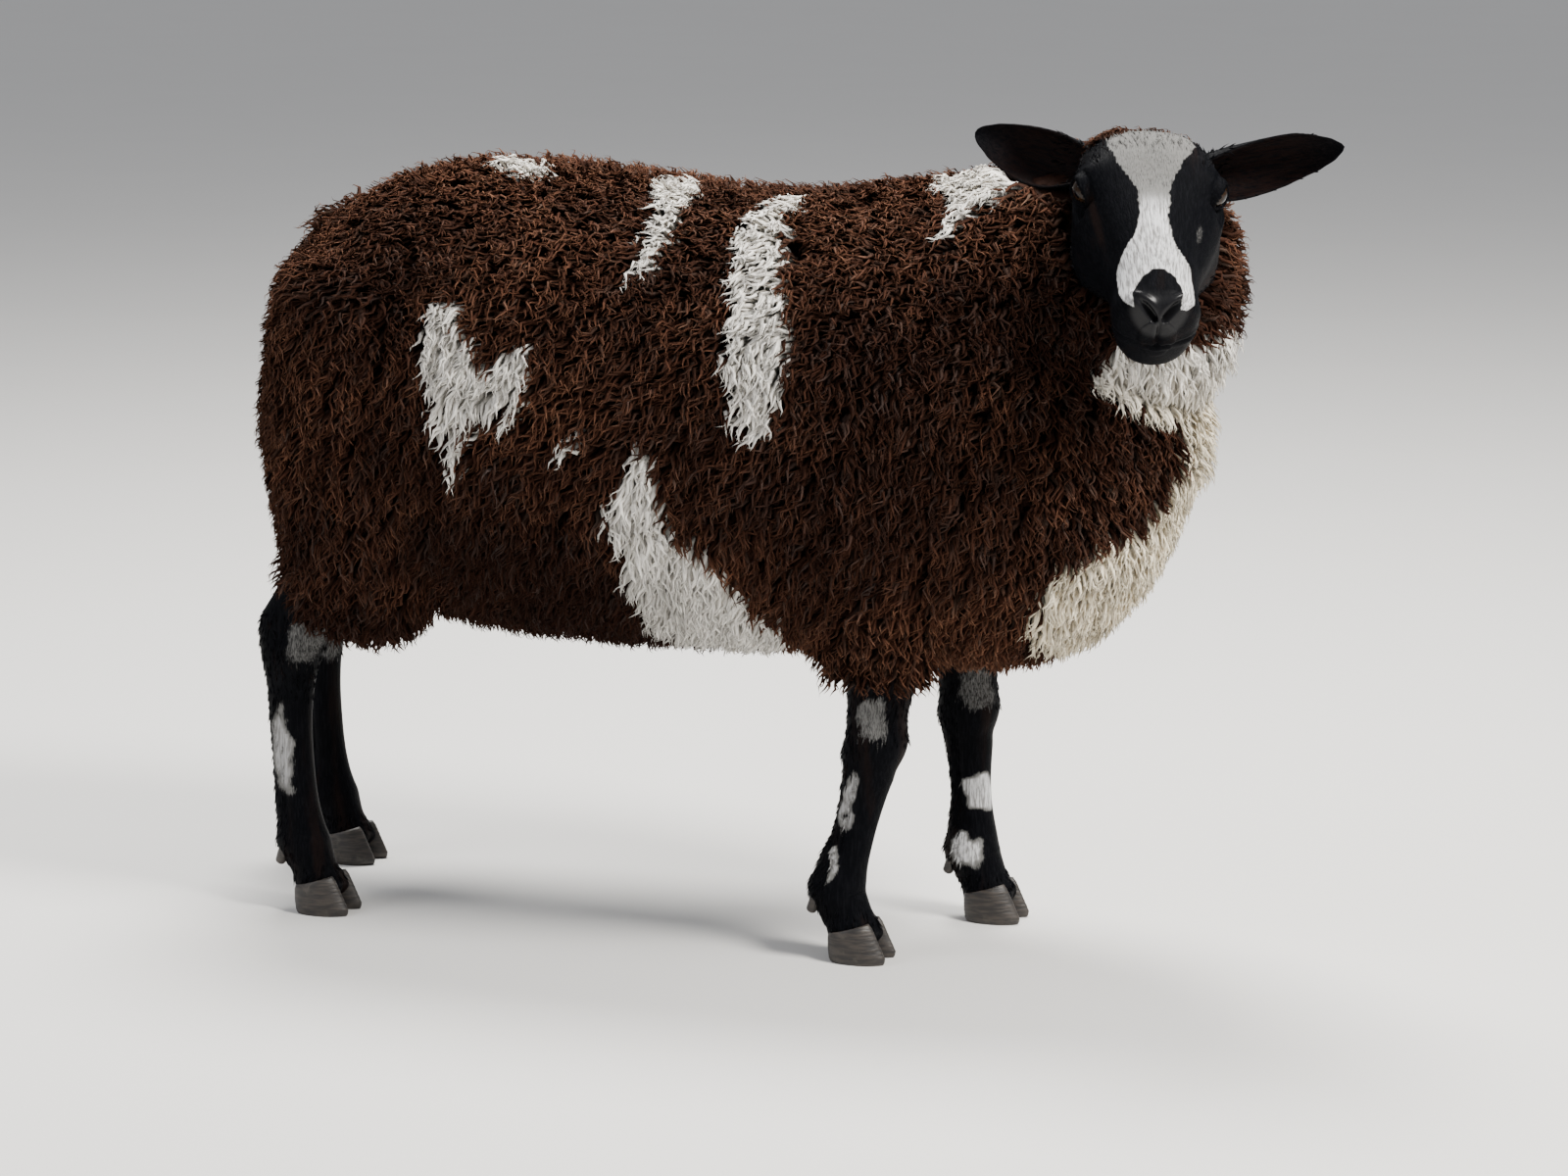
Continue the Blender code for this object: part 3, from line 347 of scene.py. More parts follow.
def legShape(name, keys):
    # bones, joints and sinews worked into a plain tube
    points, faces = loftMesh(*tubeRings(keys, legs["rings"], legs["sides"], ends=0.4))
    z = points[:, 2]
    out = points - np.column_stack([legMiddle(keys, z), np.full(len(z), keys[0][1]), z])
    size = np.linalg.norm(out, axis=1)
    way = unit(out)
    front, back, beside = np.clip(way[:, 0], 0, 1), np.clip(-way[:, 0], 0, 1), np.abs(way[:, 1])
    push = np.zeros(len(points))
    shank = smoothStep(0.085, 0.11, z) * (1 - smoothStep(0.19, 0.22, z))
    push -= 0.0030 * shank * bell(way[:, 0] + 0.42, 0.22)  # groove between bone and sinew
    push += 0.0015 * shank * back**3
    push += 0.0022 * bell(z - 0.070, 0.012) * (back + 0.4 * beside)  # fetlock
    push -= 0.0016 * bell(z - 0.047, 0.009) * (0.5 + back)
    if name.startswith("fore"):
        push += 0.0030 * bell(z - 0.212, 0.016) * (front**2 + 0.3 * beside)  # knee
        push += 0.0022 * bell(z - 0.203, 0.010) * back**2
        push -= 0.0016 * bell(z - 0.185, 0.008) * front
    else:
        push += 0.0050 * bell(z - 0.292, 0.020) * back**3  # point of the hock
        push -= 0.0040 * bell(z - 0.285, 0.030) * bell(way[:, 0] + 0.45, 0.25)
        push += 0.0020 * bell(z - 0.255, 0.014) * beside
    push *= smoothStep(0.004, 0.012, size)
    cleft = 0.0042 * bell(way[:, 1], 0.30) * (front + 0.7 * back) * (1 - smoothStep(0.020, 0.045, z))
    return points + way * (push - cleft)[:, None], faces


legMeshes = {name: legShape(name, keys) for name, side, keys in allLegs()}

head = {
    "crest": (0.431, -0.100, 0.792),
    "turn": math.radians(20.5),
    "pitch": math.radians(39.5),
    "roll": math.radians(2.4),
    "rings": 198,
    "sides": 182,
    # place, top, bottom, height of the widest line, half width, fullness above, fullness below
    "sections": (
        (-0.062, -0.080, -0.122, -0.100, 0.030, 2.0, 2.0), (-0.050, -0.058, -0.138, -0.092, 0.046, 2.2, 2.1),
        (-0.025, -0.025, -0.146, -0.078, 0.057, 2.3, 2.3), (0.000, -0.003, -0.146, -0.066, 0.062, 2.4, 2.4),
        (0.022, 0.001, -0.142, -0.060, 0.0645, 2.4, 2.5), (0.040, 0.000, -0.135, -0.056, 0.0645, 2.4, 2.5),
        (0.058, -0.002, -0.127, -0.056, 0.0630, 2.2, 2.8), (0.080, -0.004, -0.120, -0.057, 0.0585, 2.0, 2.8),
        (0.105, -0.006, -0.111, -0.058, 0.0510, 1.9, 2.5), (0.130, -0.009, -0.104, -0.058, 0.0432, 1.9, 2.2),
        (0.150, -0.012, -0.102, -0.058, 0.0388, 2.0, 2.1), (0.168, -0.016, -0.105, -0.058, 0.0375, 2.2, 2.1),
        (0.182, -0.021, -0.106, -0.057, 0.0355, 2.3, 2.1), (0.192, -0.028, -0.099, -0.056, 0.0280, 2.2, 2.0),
        (0.198, -0.038, -0.082, -0.055, 0.0160, 2.0, 2.0),
    ),
    # swellings and hollows on both sides: place, reach, height
    "forms": (
        ((0.041, 0.062, -0.034), (0.022, 0.022, 0.022), 0.0055),  # brow
        ((0.034, 0.054, -0.014), (0.015, 0.015, 0.015), 0.0035),
        ((0.068, 0.054, -0.088), (0.034, 0.034, 0.034), 0.0055),  # cheek and jaw
        ((0.092, 0.048, -0.102), (0.026, 0.026, 0.026), 0.0090),
        ((0.186, 0.020, -0.026), (0.012, 0.012, 0.012), 0.0030),  # muzzle
        ((0.178, 0.034, -0.046), (0.016, 0.016, 0.016), 0.0025),
        ((0.176, 0.024, -0.090), (0.018, 0.018, 0.018), 0.0020),
        ((0.062, 0.058, -0.044), (0.007, 0.012, 0.005), -0.0030),  # tear pit
        ((0.052, 0.000, 0.000), (0.028, 0.016, 0.020), -0.0020),  # dish between the eyes
        ((0.110, 0.000, -0.006), (0.040, 0.014, 0.020), 0.0022),  # bridge of the nose
        ((0.190, 0.013, -0.052), (0.010, 0.009, 0.010), 0.0020),  # upper lip
        ((0.186, 0.008, -0.088), (0.012, 0.014, 0.010), 0.0022),  # chin
        ((0.196, 0.000, -0.074), (0.010, 0.016, 0.0035), -0.0010),
    ),
    # ridges and grooves on both sides: path, width, height, share lost towards the path's end
    "ridges": (
        (((0.056, 0.062, -0.052), (0.080, 0.054, -0.056), (0.112, 0.045, -0.058)), 0.008, 0.0026, 0.5),
        (((0.066, 0.050, -0.028), (0.092, 0.044, -0.032), (0.122, 0.037, -0.036)), 0.010, -0.0026, 0.0),
        (((0.090, 0.056, -0.078), (0.112, 0.049, -0.078), (0.138, 0.040, -0.078)), 0.011, -0.0022, 0.0),
        (((0.004, 0.058, -0.050), (0.006, 0.058, -0.090), (0.024, 0.050, -0.126)), 0.009, -0.0030, 0.0),
        (((0.030, 0.040, -0.136), (0.075, 0.034, -0.118), (0.120, 0.028, -0.104)), 0.007, 0.0022, 0.0),
        (((0.200, 0.0, -0.040), (0.202, 0.0, -0.052), (0.2005, 0.0, -0.064)), 0.0022, -0.0026, 0.0),
    ),
    "front": 0.0032,  # how far the muzzle rounds out past the last section
}
eye = {
    "place": (0.041, 0.0560, -0.034),
    "radius": 0.0135,
    "forward": math.radians(28),
    "halfLength": 0.0126,  # of the opening between the lids
    "halfAbove": 0.0086,
    "halfBelow": 0.0068,
    "lid": 0.0030,  # thickness of the lids over the ball
}
mouth = {"height": -0.066, "depth": 0.0034, "width": 0.0017}
nostril = {
    "inner": (0.197, 0.0045, -0.037),
    "outer": (0.180, 0.0225, -0.026),
    "arch": 0.0030,
    "width": 0.0026,
    "depth": 0.0075,
    "rim": 0.0016,
}


def headMatrix():
    t, p = head["turn"], head["pitch"]
    nose = Vector((math.sin(t) * math.cos(p), -math.cos(t) * math.cos(p), -math.sin(p)))
    up = Vector((math.sin(t) * math.sin(p), -math.cos(t) * math.sin(p), math.cos(p)))
    turn = Matrix((nose, up.cross(nose), up)).transposed().to_4x4()
    return Matrix.Translation(head["crest"]) @ turn @ Matrix.Rotation(-head["roll"], 4, "X")


headPlace = np.array(headMatrix())


def toBody(points):
    return points @ headPlace[:3, :3].T + headPlace[:3, 3]


def toHead(points):
    return (points - headPlace[:3, 3]) @ headPlace[:3, :3]


def eyeFrame(side):
    f = eye["forward"]
    out = unit((math.sin(f), side * math.cos(f), 0.10))
    up = np.array((0.20, 0.0, 1.0))
    up = unit(up - out * (up @ out))
    fore = np.cross(out, up) * -side
    x, y, z = eye["place"]
    return np.array((x, side * y, z)), out, fore, up


def mouthPath(side):
    path = []
    for x in (0.142, 0.150, 0.158, 0.166, 0.174, 0.181, 0.187, 0.192, 0.196, 0.199):
        row = splineRows(head["sections"], [min(x, 0.198)])[0]
        level = mouth["height"] - 0.006 * ((0.200 - x) / 0.058) ** 2
        bottom, widest, width, below = row[1], row[2], row[3], row[5]
        c = max(1 - abs((level - widest) / (bottom - widest)) ** below, 0.0) ** (1 / below)
        path.append((x, side * width * c, level))
    path[-1] = (0.2005, 0.0, mouth["height"])
    path[-2] = (0.199, side * 0.009, mouth["height"])
    return path


def workHead(points, out):
    # bones, folds and lips pushed into the plain head; all in the head's own axes
    p = points.copy()
    push = np.zeros(len(p))
    half = np.column_stack([p[:, 0], np.abs(p[:, 1]), p[:, 2]])
    for centre, reach, height in head["forms"]:
        push += height * bump(half, centre, reach)
    for path, width, height, loss in head["ridges"]:
        away, along = lineDistance(half, path)
        push += height * bell(away, width) * (1 - loss * along)
    for side in (1, -1):
        away, along = lineDistance(p, mouthPath(side))
        fade = smoothStep(0.0, 0.12, along)
        push -= mouth["depth"] * bell(away, mouth["width"]) * (0.35 + 0.65 * fade)
        push += 0.0011 * bell(away - 0.0042, 0.0026) * fade  # lips
    p += out * push[:, None]
    for side in (1, -1):
        workNostril(p, out, side)
        workLids(p, side)
    return p


def workNostril(p, out, side):
    # a comma-shaped slit with a raised wing above it
    inner, outer = np.array(nostril["inner"]), np.array(nostril["outer"])
    path = [inner + (outer - inner) * t + (0, 0, nostril["arch"] * math.sin(math.pi * t))
            for t in np.linspace(0, 1, 7)]
    away, along = lineDistance(p, np.array(path) * (1, side, 1))
    width = nostril["width"] * (0.65 + 0.65 * np.sin(math.pi * np.clip(along * 0.8 + 0.15, 0, 1)))
    hole = np.exp(-((away / width) ** 4))
    rim = bell(away - width * 1.9, width * 0.9)
    level = np.interp(np.abs(p[:, 1]), (inner[1], outer[1]), (inner[2], outer[2]))
    above = smoothStep(-0.004, 0.004, p[:, 2] - level)
    p += unit((-0.85, -0.25 * side, -0.25)) * (nostril["depth"] * hole)[:, None]
    p += out * (nostril["rim"] * rim * (0.35 + 0.65 * above))[:, None]


def workLids(p, side):
    # the skin runs up over the ball, opens, and drops behind it
    centre, outWay, fore, up = eyeFrame(side)
    rel = p - centre
    u, v, w = rel @ fore, rel @ up, rel @ outWay
    away = np.hypot(u, v)
    near = (w > 0) & (away < 0.034)
    r, halfLength = eye["radius"], eye["halfLength"]
    slant = v - 0.10 * u
    upper = slant > 0
    tall = np.where(upper, eye["halfAbove"], eye["halfBelow"])
    # q is 1 on the edge of the opening, and far is the distance past it
    q = np.hypot(u / halfLength, slant / tall)
    q = np.where(np.abs(u) > halfLength, np.maximum(q, 1.0 + (np.abs(u) - halfLength) / 0.006), q)
    far = (q - 1) * tall
    ball = np.sqrt(r**2 - np.minimum(away, r) ** 2)
    lidFloor = np.sqrt((r + eye["lid"]) ** 2 - np.minimum(away, r + eye["lid"] - 0.0001) ** 2)
    raised = lidFloor - 0.0005 + 0.0007 * np.where(upper, 1.0, 0.75) * bell(far - 0.0015, 0.0016)
    blend = 1 - smoothStep(0.0035, 0.0125, far)
    target = w * (1 - blend) + np.maximum(raised, w * 0.4) * blend
    target -= 0.0012 * bell(far - 0.0062, 0.0013) * np.where(upper, 1.0, 0.5)  # fold of the lid
    pocket = ball - 0.0050
    shut = smoothStep(0.88, 1.05, q)
    target = pocket * (1 - shut) + target * shut
    p += outWay * np.where(near, target - w, 0.0)[:, None]


def headShape():
    count, sides = head["rings"], head["sides"]
    first, last = head["sections"][0][0], head["sections"][-1][0]
    # rings close up round the eyes and the muzzle
    place = first + (last - first) * np.linspace(0, 1, 2000)
    dense = 0.65 + 1.5 * bell(place - 0.041, 0.020) + 2.2 * smoothStep(0.135, 0.195, place)
    dense += 0.15 * smoothStep(-0.03, 0.0, place)
    total = np.concatenate([[0], np.cumsum((dense[1:] + dense[:-1]) / 2)])
    at = np.interp(np.linspace(0, total[-1], count), total, place)
    rows = splineRows(head["sections"], at)
    raw = 2 * math.pi * (np.arange(sides) + 0.5) / sides
    c, s = np.cos(raw), np.sin(raw)
    rings, outs = [], []
    for x, (top, bottom, widest, width, above, below) in zip(at, rows):
        fullness = np.where(s >= 0, above, below)
        rise = np.where(s >= 0, top - widest, widest - bottom)
        y = signedPower(c, 2 / fullness) * width
        z = widest + signedPower(s, 2 / fullness) * rise
        rings.append(np.column_stack([np.full(sides, x), y, z]))
        outs.append(np.column_stack([np.zeros(sides), c, s]))
    # the blunt front of the muzzle, closed by rings that shrink to its middle
    centre = np.array((last, 0.0, rows[-1][2]))
    for share in np.cos(np.linspace(0.04, 0.49, 22) * math.pi):
        ahead = math.sqrt(max(1 - share**2, 0))
        ring = centre + (rings[count - 1] - centre) * share
        ring[:, 0] = last + head["front"] * ahead
        rings.append(ring)
        outs.append(outs[count - 1] * share + np.array((ahead, 0, 0)))
    firstPole = np.array((first - 0.006, 0, head["sections"][0][3]))
    points, faces = loftMesh(rings, firstPole, centre + (head["front"], 0, 0))
    out = unit(np.concatenate([[(-1.0, 0, 0)], np.concatenate(outs), [(1.0, 0, 0)]]))
    return workHead(points, out), faces


headMesh = headShape()
print("ram: head", len(headMesh[0]), "points")

ears = {
    "root": (-0.010, 0.036, -0.062),
    "length": 0.146,
    "halfWidth": 0.0288,
    "thickness": 0.0042,
    "stations": 60,
    "arc": 34,
    "bend": 0.012,
    "sag": 0.0070,
    "earLeft": ((0.00, 0.95, 0.270), (1.00, 0.10, 0.35)),  # where it points, where its cup opens
    "earRight": ((-0.60, -0.755, -0.285), (0.60, -0.40, 0.78)),
}


def earAxes(side):
    pointsTo, opens = (unit(v) for v in ears["earLeft" if side > 0 else "earRight"])
    opens = unit(opens - pointsTo * (opens @ pointsTo))
    return pointsTo, opens, np.cross(pointsTo, opens), np.array(ears["root"]) * (1, side, 1)


def earShape(side):
    pointsTo, opens, across, root = earAxes(side)
    rings, inside = [], []
    for t in np.linspace(0, 1, ears["stations"]) ** 0.92:
        width = ears["halfWidth"] * (0.50 + 1.9 * t) * max(1.02 - t, 0.0) ** 0.72 / 0.95
        spread = math.radians(128 - 78 * min(1.0, t * 1.35))
        radius = width / math.sin(min(spread, math.pi / 2))
        thick = ears["thickness"] * (1.0 - 0.62 * t)
        curve = (opens * ears["bend"] + np.array((0, 0, ears["sag"]))) * math.sin(math.pi * t)
        centre = root + pointsTo * ears["length"] * t + opens * radius * 0.75 - curve
        share = np.linspace(-1, 1, ears["arc"])
        angle = spread * share
        way = across * np.sin(angle)[:, None] - opens * np.cos(angle)[:, None]
        # rolled rims and two ribs along the cup
        rim = 1 - np.abs(share) ** 6 * 0.45
        ribs = 0.0007 * np.cos(share * 9.0) * math.sin(math.pi * min(t * 1.1, 1.0))
        outer = centre + way * radius
        inner = centre + way * (radius - thick * rim + ribs)[:, None]
        edge = 0.0006 * np.sin(t * 61 + side) * np.abs(share) ** 8
        outer += pointsTo * edge[:, None]
        rings.append(np.concatenate([outer, inner[::-1]]))
        inside.append(np.concatenate([np.zeros(len(share)), np.ones(len(share)) * min(1, (1 - t) * 3)]))
    first = rings[0].mean(axis=0)
    last = rings[-1].mean(axis=0) + pointsTo * 0.002
    if side < 0:
        rings = [ring[::-1] for ring in rings]
        inside = [row[::-1] for row in inside]
    points, faces = loftMesh(rings, first, last)
    return points, faces, np.concatenate([[0.0], np.concatenate(inside), [0.0]]), pointsTo


def outwards(points, faces):
    # turns a closed shape's faces round if its volume comes out negative
    tri = np.array([(f[0], f[i], f[i + 1]) for f in faces for i in range(1, len(f) - 1)])
    a, b, c = (points[tri[:, i]] for i in range(3))
    if np.einsum("ij,ij->i", a, np.cross(b, c)).sum() < 0:
        faces = [tuple(reversed(f)) for f in faces]
    return points, faces


def wholeSkin():
    # one skin from body, legs, head and ears. Each gives its points, their kind (0 wool, 1 leg, 2 head,
    # 3 ear, 4 inside its cup) and their grain: the place that noise is read at, squeezed along the hair
    squeeze = 0.12
    core = meshArrays(coreObject.data)
    sources = [(core, 0, core)]
    parts = []
    for name, (points, faces) in legMeshes.items():
        parts.append(makeObject(name, *outwards(points, faces)))
        sources.append((points, 1, points * (1, 1, squeeze)))
    points, faces = outwards(*headMesh)
    parts.append(makeObject("head", toBody(points), faces))
    sources.append((toBody(points), 2, points * (squeeze, 1, 1)))
    for points, faces, inside, way in (earShape(1), earShape(-1)):
        points, faces = outwards(points, faces)
        parts.append(makeObject("ear", toBody(points), faces))
        sources.append((toBody(points), 3 + inside, points - np.outer(points @ way, way) * (1 - squeeze)))
    skin = uniteAll(coreObject, parts)
    near = nearestOf(np.concatenate([s[0] for s in sources]), meshArrays(skin.data))
    kinds = np.concatenate([np.broadcast_to(kind, len(points)) for points, kind, grain in sources])
    return skin, kinds[near], np.concatenate([s[2] for s in sources])[near]


skin, skinKind, skinGrain = wholeSkin()
skin.name = skin.data.name = "skin"
print("ram: skin", len(skin.data.polygons), "faces")

# Places on the trunk are X and the angle round it in degrees from the spine, right side positive;
# each stroke is a row of (X, angle, half width).
markings = {
    "degree": 0.0037,  # metres on the wool for one degree
    "axisHeight": 0.505,
    "strokes": {
        "rumpTuft": ((-0.232, 8, 0.014), (-0.208, 10, 0.022), (-0.190, 14, 0.014)),
        "slantStripe": ((-0.058, 3, 0.018), (-0.045, 14, 0.021), (-0.036, 25, 0.016), (-0.040, 36, 0.010),
                        (-0.042, 46, 0.007), (-0.052, 53, 0.004)),
        "mainStripe": ((0.070, 11, 0.010), (0.064, 20, 0.020), (0.058, 28, 0.021), (0.071, 42, 0.022),
                       (0.080, 58, 0.024), (0.0815, 70, 0.0295), (0.089, 78, 0.031), (0.088, 84, 0.022)),
        "haunch": ((-0.236, 63, 0.014), (-0.222, 72, 0.028), (-0.219, 84, 0.026), (-0.216, 95, 0.014),
                   (-0.213, 104, 0.005)),
        "haunchFront": ((-0.205, 82, 0.026), (-0.175, 82, 0.026), (-0.158, 79, 0.020), (-0.148, 72, 0.012)),
        "belly": ((-0.026, 99, 0.012), (-0.034, 107, 0.022), (-0.032, 116, 0.031), (-0.016, 127, 0.042),
                  (0.006, 138, 0.058), (0.014, 152, 0.066)),
        "withers": ((0.230, 9, 0.022), (0.254, 15, 0.026), (0.276, 19, 0.016)),
        "withersDrip": ((0.246, 20, 0.016), (0.240, 32, 0.007)),
        "flankSpot": ((-0.100, 94, 0.007), (-0.101, 97, 0.005)),
        "leftSaddle": ((0.110, -28, 0.022), (0.122, -46, 0.034), (0.108, -66, 0.040), (0.120, -84, 0.022)),
        "leftHaunch": ((-0.250, -52, 0.020), (-0.262, -70, 0.034), (-0.240, -92, 0.028),
                       (-0.236, -108, 0.010)),
        "leftBelly": ((0.020, -112, 0.020), (0.000, -130, 0.040), (0.010, -150, 0.045)),
        "leftSpot": ((-0.080, -58, 0.012), (-0.086, -68, 0.009)),
    },
    # the white breast: height, and the angle round a post behind it where it ends on either side
    "breastPost": (0.330, 0.0),  # its X and Y
    "breast": ((0.255, -112, 112), (0.321, -100, 108), (0.346, -91, 104), (0.368, -85, 98), (0.398, -68, 92),
               (0.408, -39, 88), (0.437, -24, 84), (0.480, -14, 70), (0.518, -26, 60), (0.540, -51, 66),
               (0.563, -64, 72), (0.600, -56, 60)),
    "breastTop": 0.596,
    # face blaze: place along the head, and the angle from the middle line on the right and left side
    "blaze": ((-0.045, 30, 30), (-0.020, 38, 38), (0.007, 38, 40), (0.036, 30, 26), (0.053, 23.5, 19.5),
              (0.070, 16, 14.5), (0.098, 16, 11), (0.118, 23, 13), (0.131, 43, 20), (0.143, 57, 41),
              (0.163, 58, 46), (0.182, 47, 50), (0.190, 36, 40), (0.196, 1, 1)),
    "nosePatch": ((0.184, -0.002), (0.0255, 0.0215)),  # middle and half sizes of the black patch on the nose
    "cheekSpot": ((0.0986, 0.0388, -0.0289), 0.0085),
    # white on the legs: leg, height, half height, way it faces in degrees (0 ahead, 90 left), half angle,
    # strength
    "legs": (
        ("foreRight", 0.238, 0.032, -82, 58, 0.56), ("foreRight", 0.160, 0.040, -128, 34, 0.80),
        ("foreRight", 0.098, 0.014, -108, 24, 0.80), ("foreLeft", 0.230, 0.032, -60, 66, 0.50),
        ("foreLeft", 0.132, 0.026, -45, 62, 1.0), ("foreLeft", 0.073, 0.021, -85, 52, 1.0),
        ("hindRight", 0.272, 0.034, -40, 55, 0.50), ("hindRight", 0.158, 0.058, -105, 72, 0.80),
        ("hindLeft", 0.225, 0.030, -40, 66, 0.5), ("hindLeft", 0.130, 0.036, 100, 66, 0.9),
    ),
}
edgeWaver = [Wobble(seed, 0.055) for seed in (3, 4)]
edgeFine = [Wobble(seed, 0.016) for seed in (5, 6)]


def wavered(points, far, fine):
    moved = points.copy()
    for axis, (a, b) in enumerate(zip(edgeWaver, edgeFine)):
        shift = a.at(points) * far + b.at(points) * fine
        moved[:, axis * 2] += shift
    return moved


def strokeReach(x, down, stroke):
    # how far inside a stroke each place lies, in metres; negative outside
    best = np.full(len(x), -1.0)
    rows = np.array([(a, b * markings["degree"], c) for a, b, c in stroke])
    place = np.column_stack([x, down])
    for a, b in zip(rows[:-1], rows[1:]):
        step = b[:2] - a[:2]
        t = np.clip(((place - a[:2]) @ step) / max(step @ step, 1e-9), 0, 1)
        away = np.linalg.norm(place - (a[:2] + t[:, None] * step), axis=1)
        best = np.maximum(best, a[2] + (b[2] - a[2]) * t - away)
    return best


def bodyWhite(points):
    # 1 inside the white of neck, trunk, thighs and tail, 0 outside, soft over a few millimetres
    p = wavered(points, 0.0045, 0.003)
    x, y, z = p.T
    angle = np.degrees(np.arctan2(-y, z - markings["axisHeight"]))
    down = angle * markings["degree"]
    reach = np.full(len(p), -1.0)
    for stroke in markings["strokes"].values():
        reach = np.maximum(reach, strokeReach(x, down, stroke))
    post = markings["breastPost"]
    turn = np.degrees(np.arctan2(y - post[1], x - post[0]))
    table = np.array(markings["breast"])
    low = np.interp(z, table[:, 0], table[:, 1])
    high = np.interp(z, table[:, 0], table[:, 2])
    bib = np.minimum(np.minimum(turn - low, high - turn) * 0.0025, markings["breastTop"] - z)
    return smoothStep(-0.002, 0.003, np.maximum(reach, np.minimum(bib, x - 0.24)))


def headWhite(points):
    # the same for the face, in the head's own axes
    fine = edgeFine[0].at(points * 2.5) * 0.0004 + edgeWaver[0].at(points * 2) * 0.0009
    x, y, z = points.T
    angle = np.degrees(np.arctan2(y, z + 0.060))
    table = np.array(markings["blaze"])
    right = np.interp(x, table[:, 0], table[:, 1])
    left = np.interp(x, table[:, 0], table[:, 2])
    reach = np.minimum(angle + right, left - angle) * 0.0009
    reach = np.minimum(reach, (x + 0.040)) + fine
    (cx, cy), (hx, hy) = markings["nosePatch"]
    patch = np.hypot((x - cx) / hx, (y - cy) / hy)
    reach = np.minimum(reach, np.where(x < cx + hx, (patch - 1) * 0.018 + fine, reach))
    centre, size = markings["cheekSpot"]
    spot = 0.42 * smoothStep(-0.005, 0.004, size - np.linalg.norm((points - centre) * (0.7, 1, 1.2), axis=1))
    # dark hairs among the white of the forehead
    mixed = 1 - (0.37 + 0.03 * bell(y, 0.022)) * smoothStep(0.108, 0.056, x)
    return np.maximum(smoothStep(-0.0008, 0.0008, reach) * mixed, spot)


def legWhite(points):
    result = np.zeros(len(points))
    p = wavered(points, 0.005, 0.003)
    for name, side, keys in allLegs():
        x, y = legMiddle(keys, p[:, 2]), keys[0][1]
        mine = (np.hypot(points[:, 0] - x, points[:, 1] - y) < 0.075) & (np.sign(points[:, 1]) == side)
        turn = np.degrees(np.arctan2(p[:, 1] - y, p[:, 0] - x))
        for leg, height, half, way, spread, strength in markings["legs"]:
            if leg == name:
                off = np.abs((turn - way + 180) % 360 - 180)
                reach = 1 - np.hypot((p[:, 2] - height) / half, off / spread)
                result = np.maximum(result, smoothStep(0.0, 0.45, reach) * mine * strength)
    return result


def skinFields():
    # what the skin's look reads at each point; bare is the black skin between the nostrils
    places = meshArrays(skin.data)
    local = toHead(places)
    parts = [skinKind == 0, skinKind == 1, skinKind == 2]
    white = np.select(parts, [bodyWhite(places), legWhite(places), headWhite(local)], 0.0)
    fromNose = np.hypot(local[:, 1], local[:, 2] + 0.028)
    bare = smoothStep(0.176, 0.186, local[:, 0]) * smoothStep(0.030, 0.022, fromNose) * parts[2]
    return {"white": white, "cup": np.clip(skinKind - 3, 0, 1), "bare": bare, "woolly": parts[0] * 1.0,
            "grain": skinGrain}


for key, values in skinFields().items():
    giveNumbers(skin.data, key, values)
print("ram: markings on the skin")


class Paint:
    # a material and the nodes that lead into its shader
    def __init__(self, name):
        self.made = bpy.data.materials.new(name)
        self.made.use_nodes = True
        self.nodes, self.links = self.made.node_tree.nodes, self.made.node_tree.links
        self.nodes.clear()
        output = self.nodes.new("ShaderNodeOutputMaterial")
        self.shader = self.nodes.new("ShaderNodeBsdfPrincipled")
        self.links.new(self.shader.outputs["BSDF"], output.inputs["Surface"])

    def feed(self, socket, value):
        # value is the output of a node, a colour or a number
        if hasattr(value, "is_output"):
            self.links.new(value, socket)
        else:
            socket.default_value = (*value, 1.0) if isinstance(value, tuple) else value

    def node(self, kind, inputs=(), **settings):
        made = self.nodes.new("ShaderNode" + kind)
        for name, value in settings.items():
            setattr(made, name, value)
        for socket, value in inputs:
            self.feed(made.inputs[socket], value)
        return made.outputs

    def read(self, name, kind="Fac"):
        return self.node("Attribute", attribute_name=name)[kind]

    def place(self):
        return self.node("TexCoord")["Object"]

    def mix(self, factor, a, b):
        return self.node("Mix", (("Factor", factor), (6, a), (7, b)), data_type="RGBA")[2]

    def noise(self, vector, scale, detail, roughness):
        parts = ("Vector", vector), ("Scale", scale), ("Detail", detail), ("Roughness", roughness)
        return self.node("TexNoise", parts)["Fac"]

    def ramp(self, value, low, high):
        # 0 at low, 1 at high, soft at both ends
        parts = ("Value", value), ("From Min", low), ("From Max", high)
        return self.node("MapRange", parts, interpolation_type="SMOOTHSTEP")["Result"]

    def between(self, value, low, high):
        # low at 0, high at 1
        return self.node("MapRange", (("Value", value), ("To Min", low), ("To Max", high)))["Result"]

    def work(self, how, a, b):
        return self.node("Math", ((0, a), (1, b)), operation=how)["Value"]

    def times(self, a, b):
        return self.work("MULTIPLY", a, b)

    def relief(self, height, distance, strength):
        parts = ("Height", height), ("Distance", distance), ("Strength", strength)
        self.feed(self.shader.inputs["Normal"], self.node("Bump", parts)["Normal"])


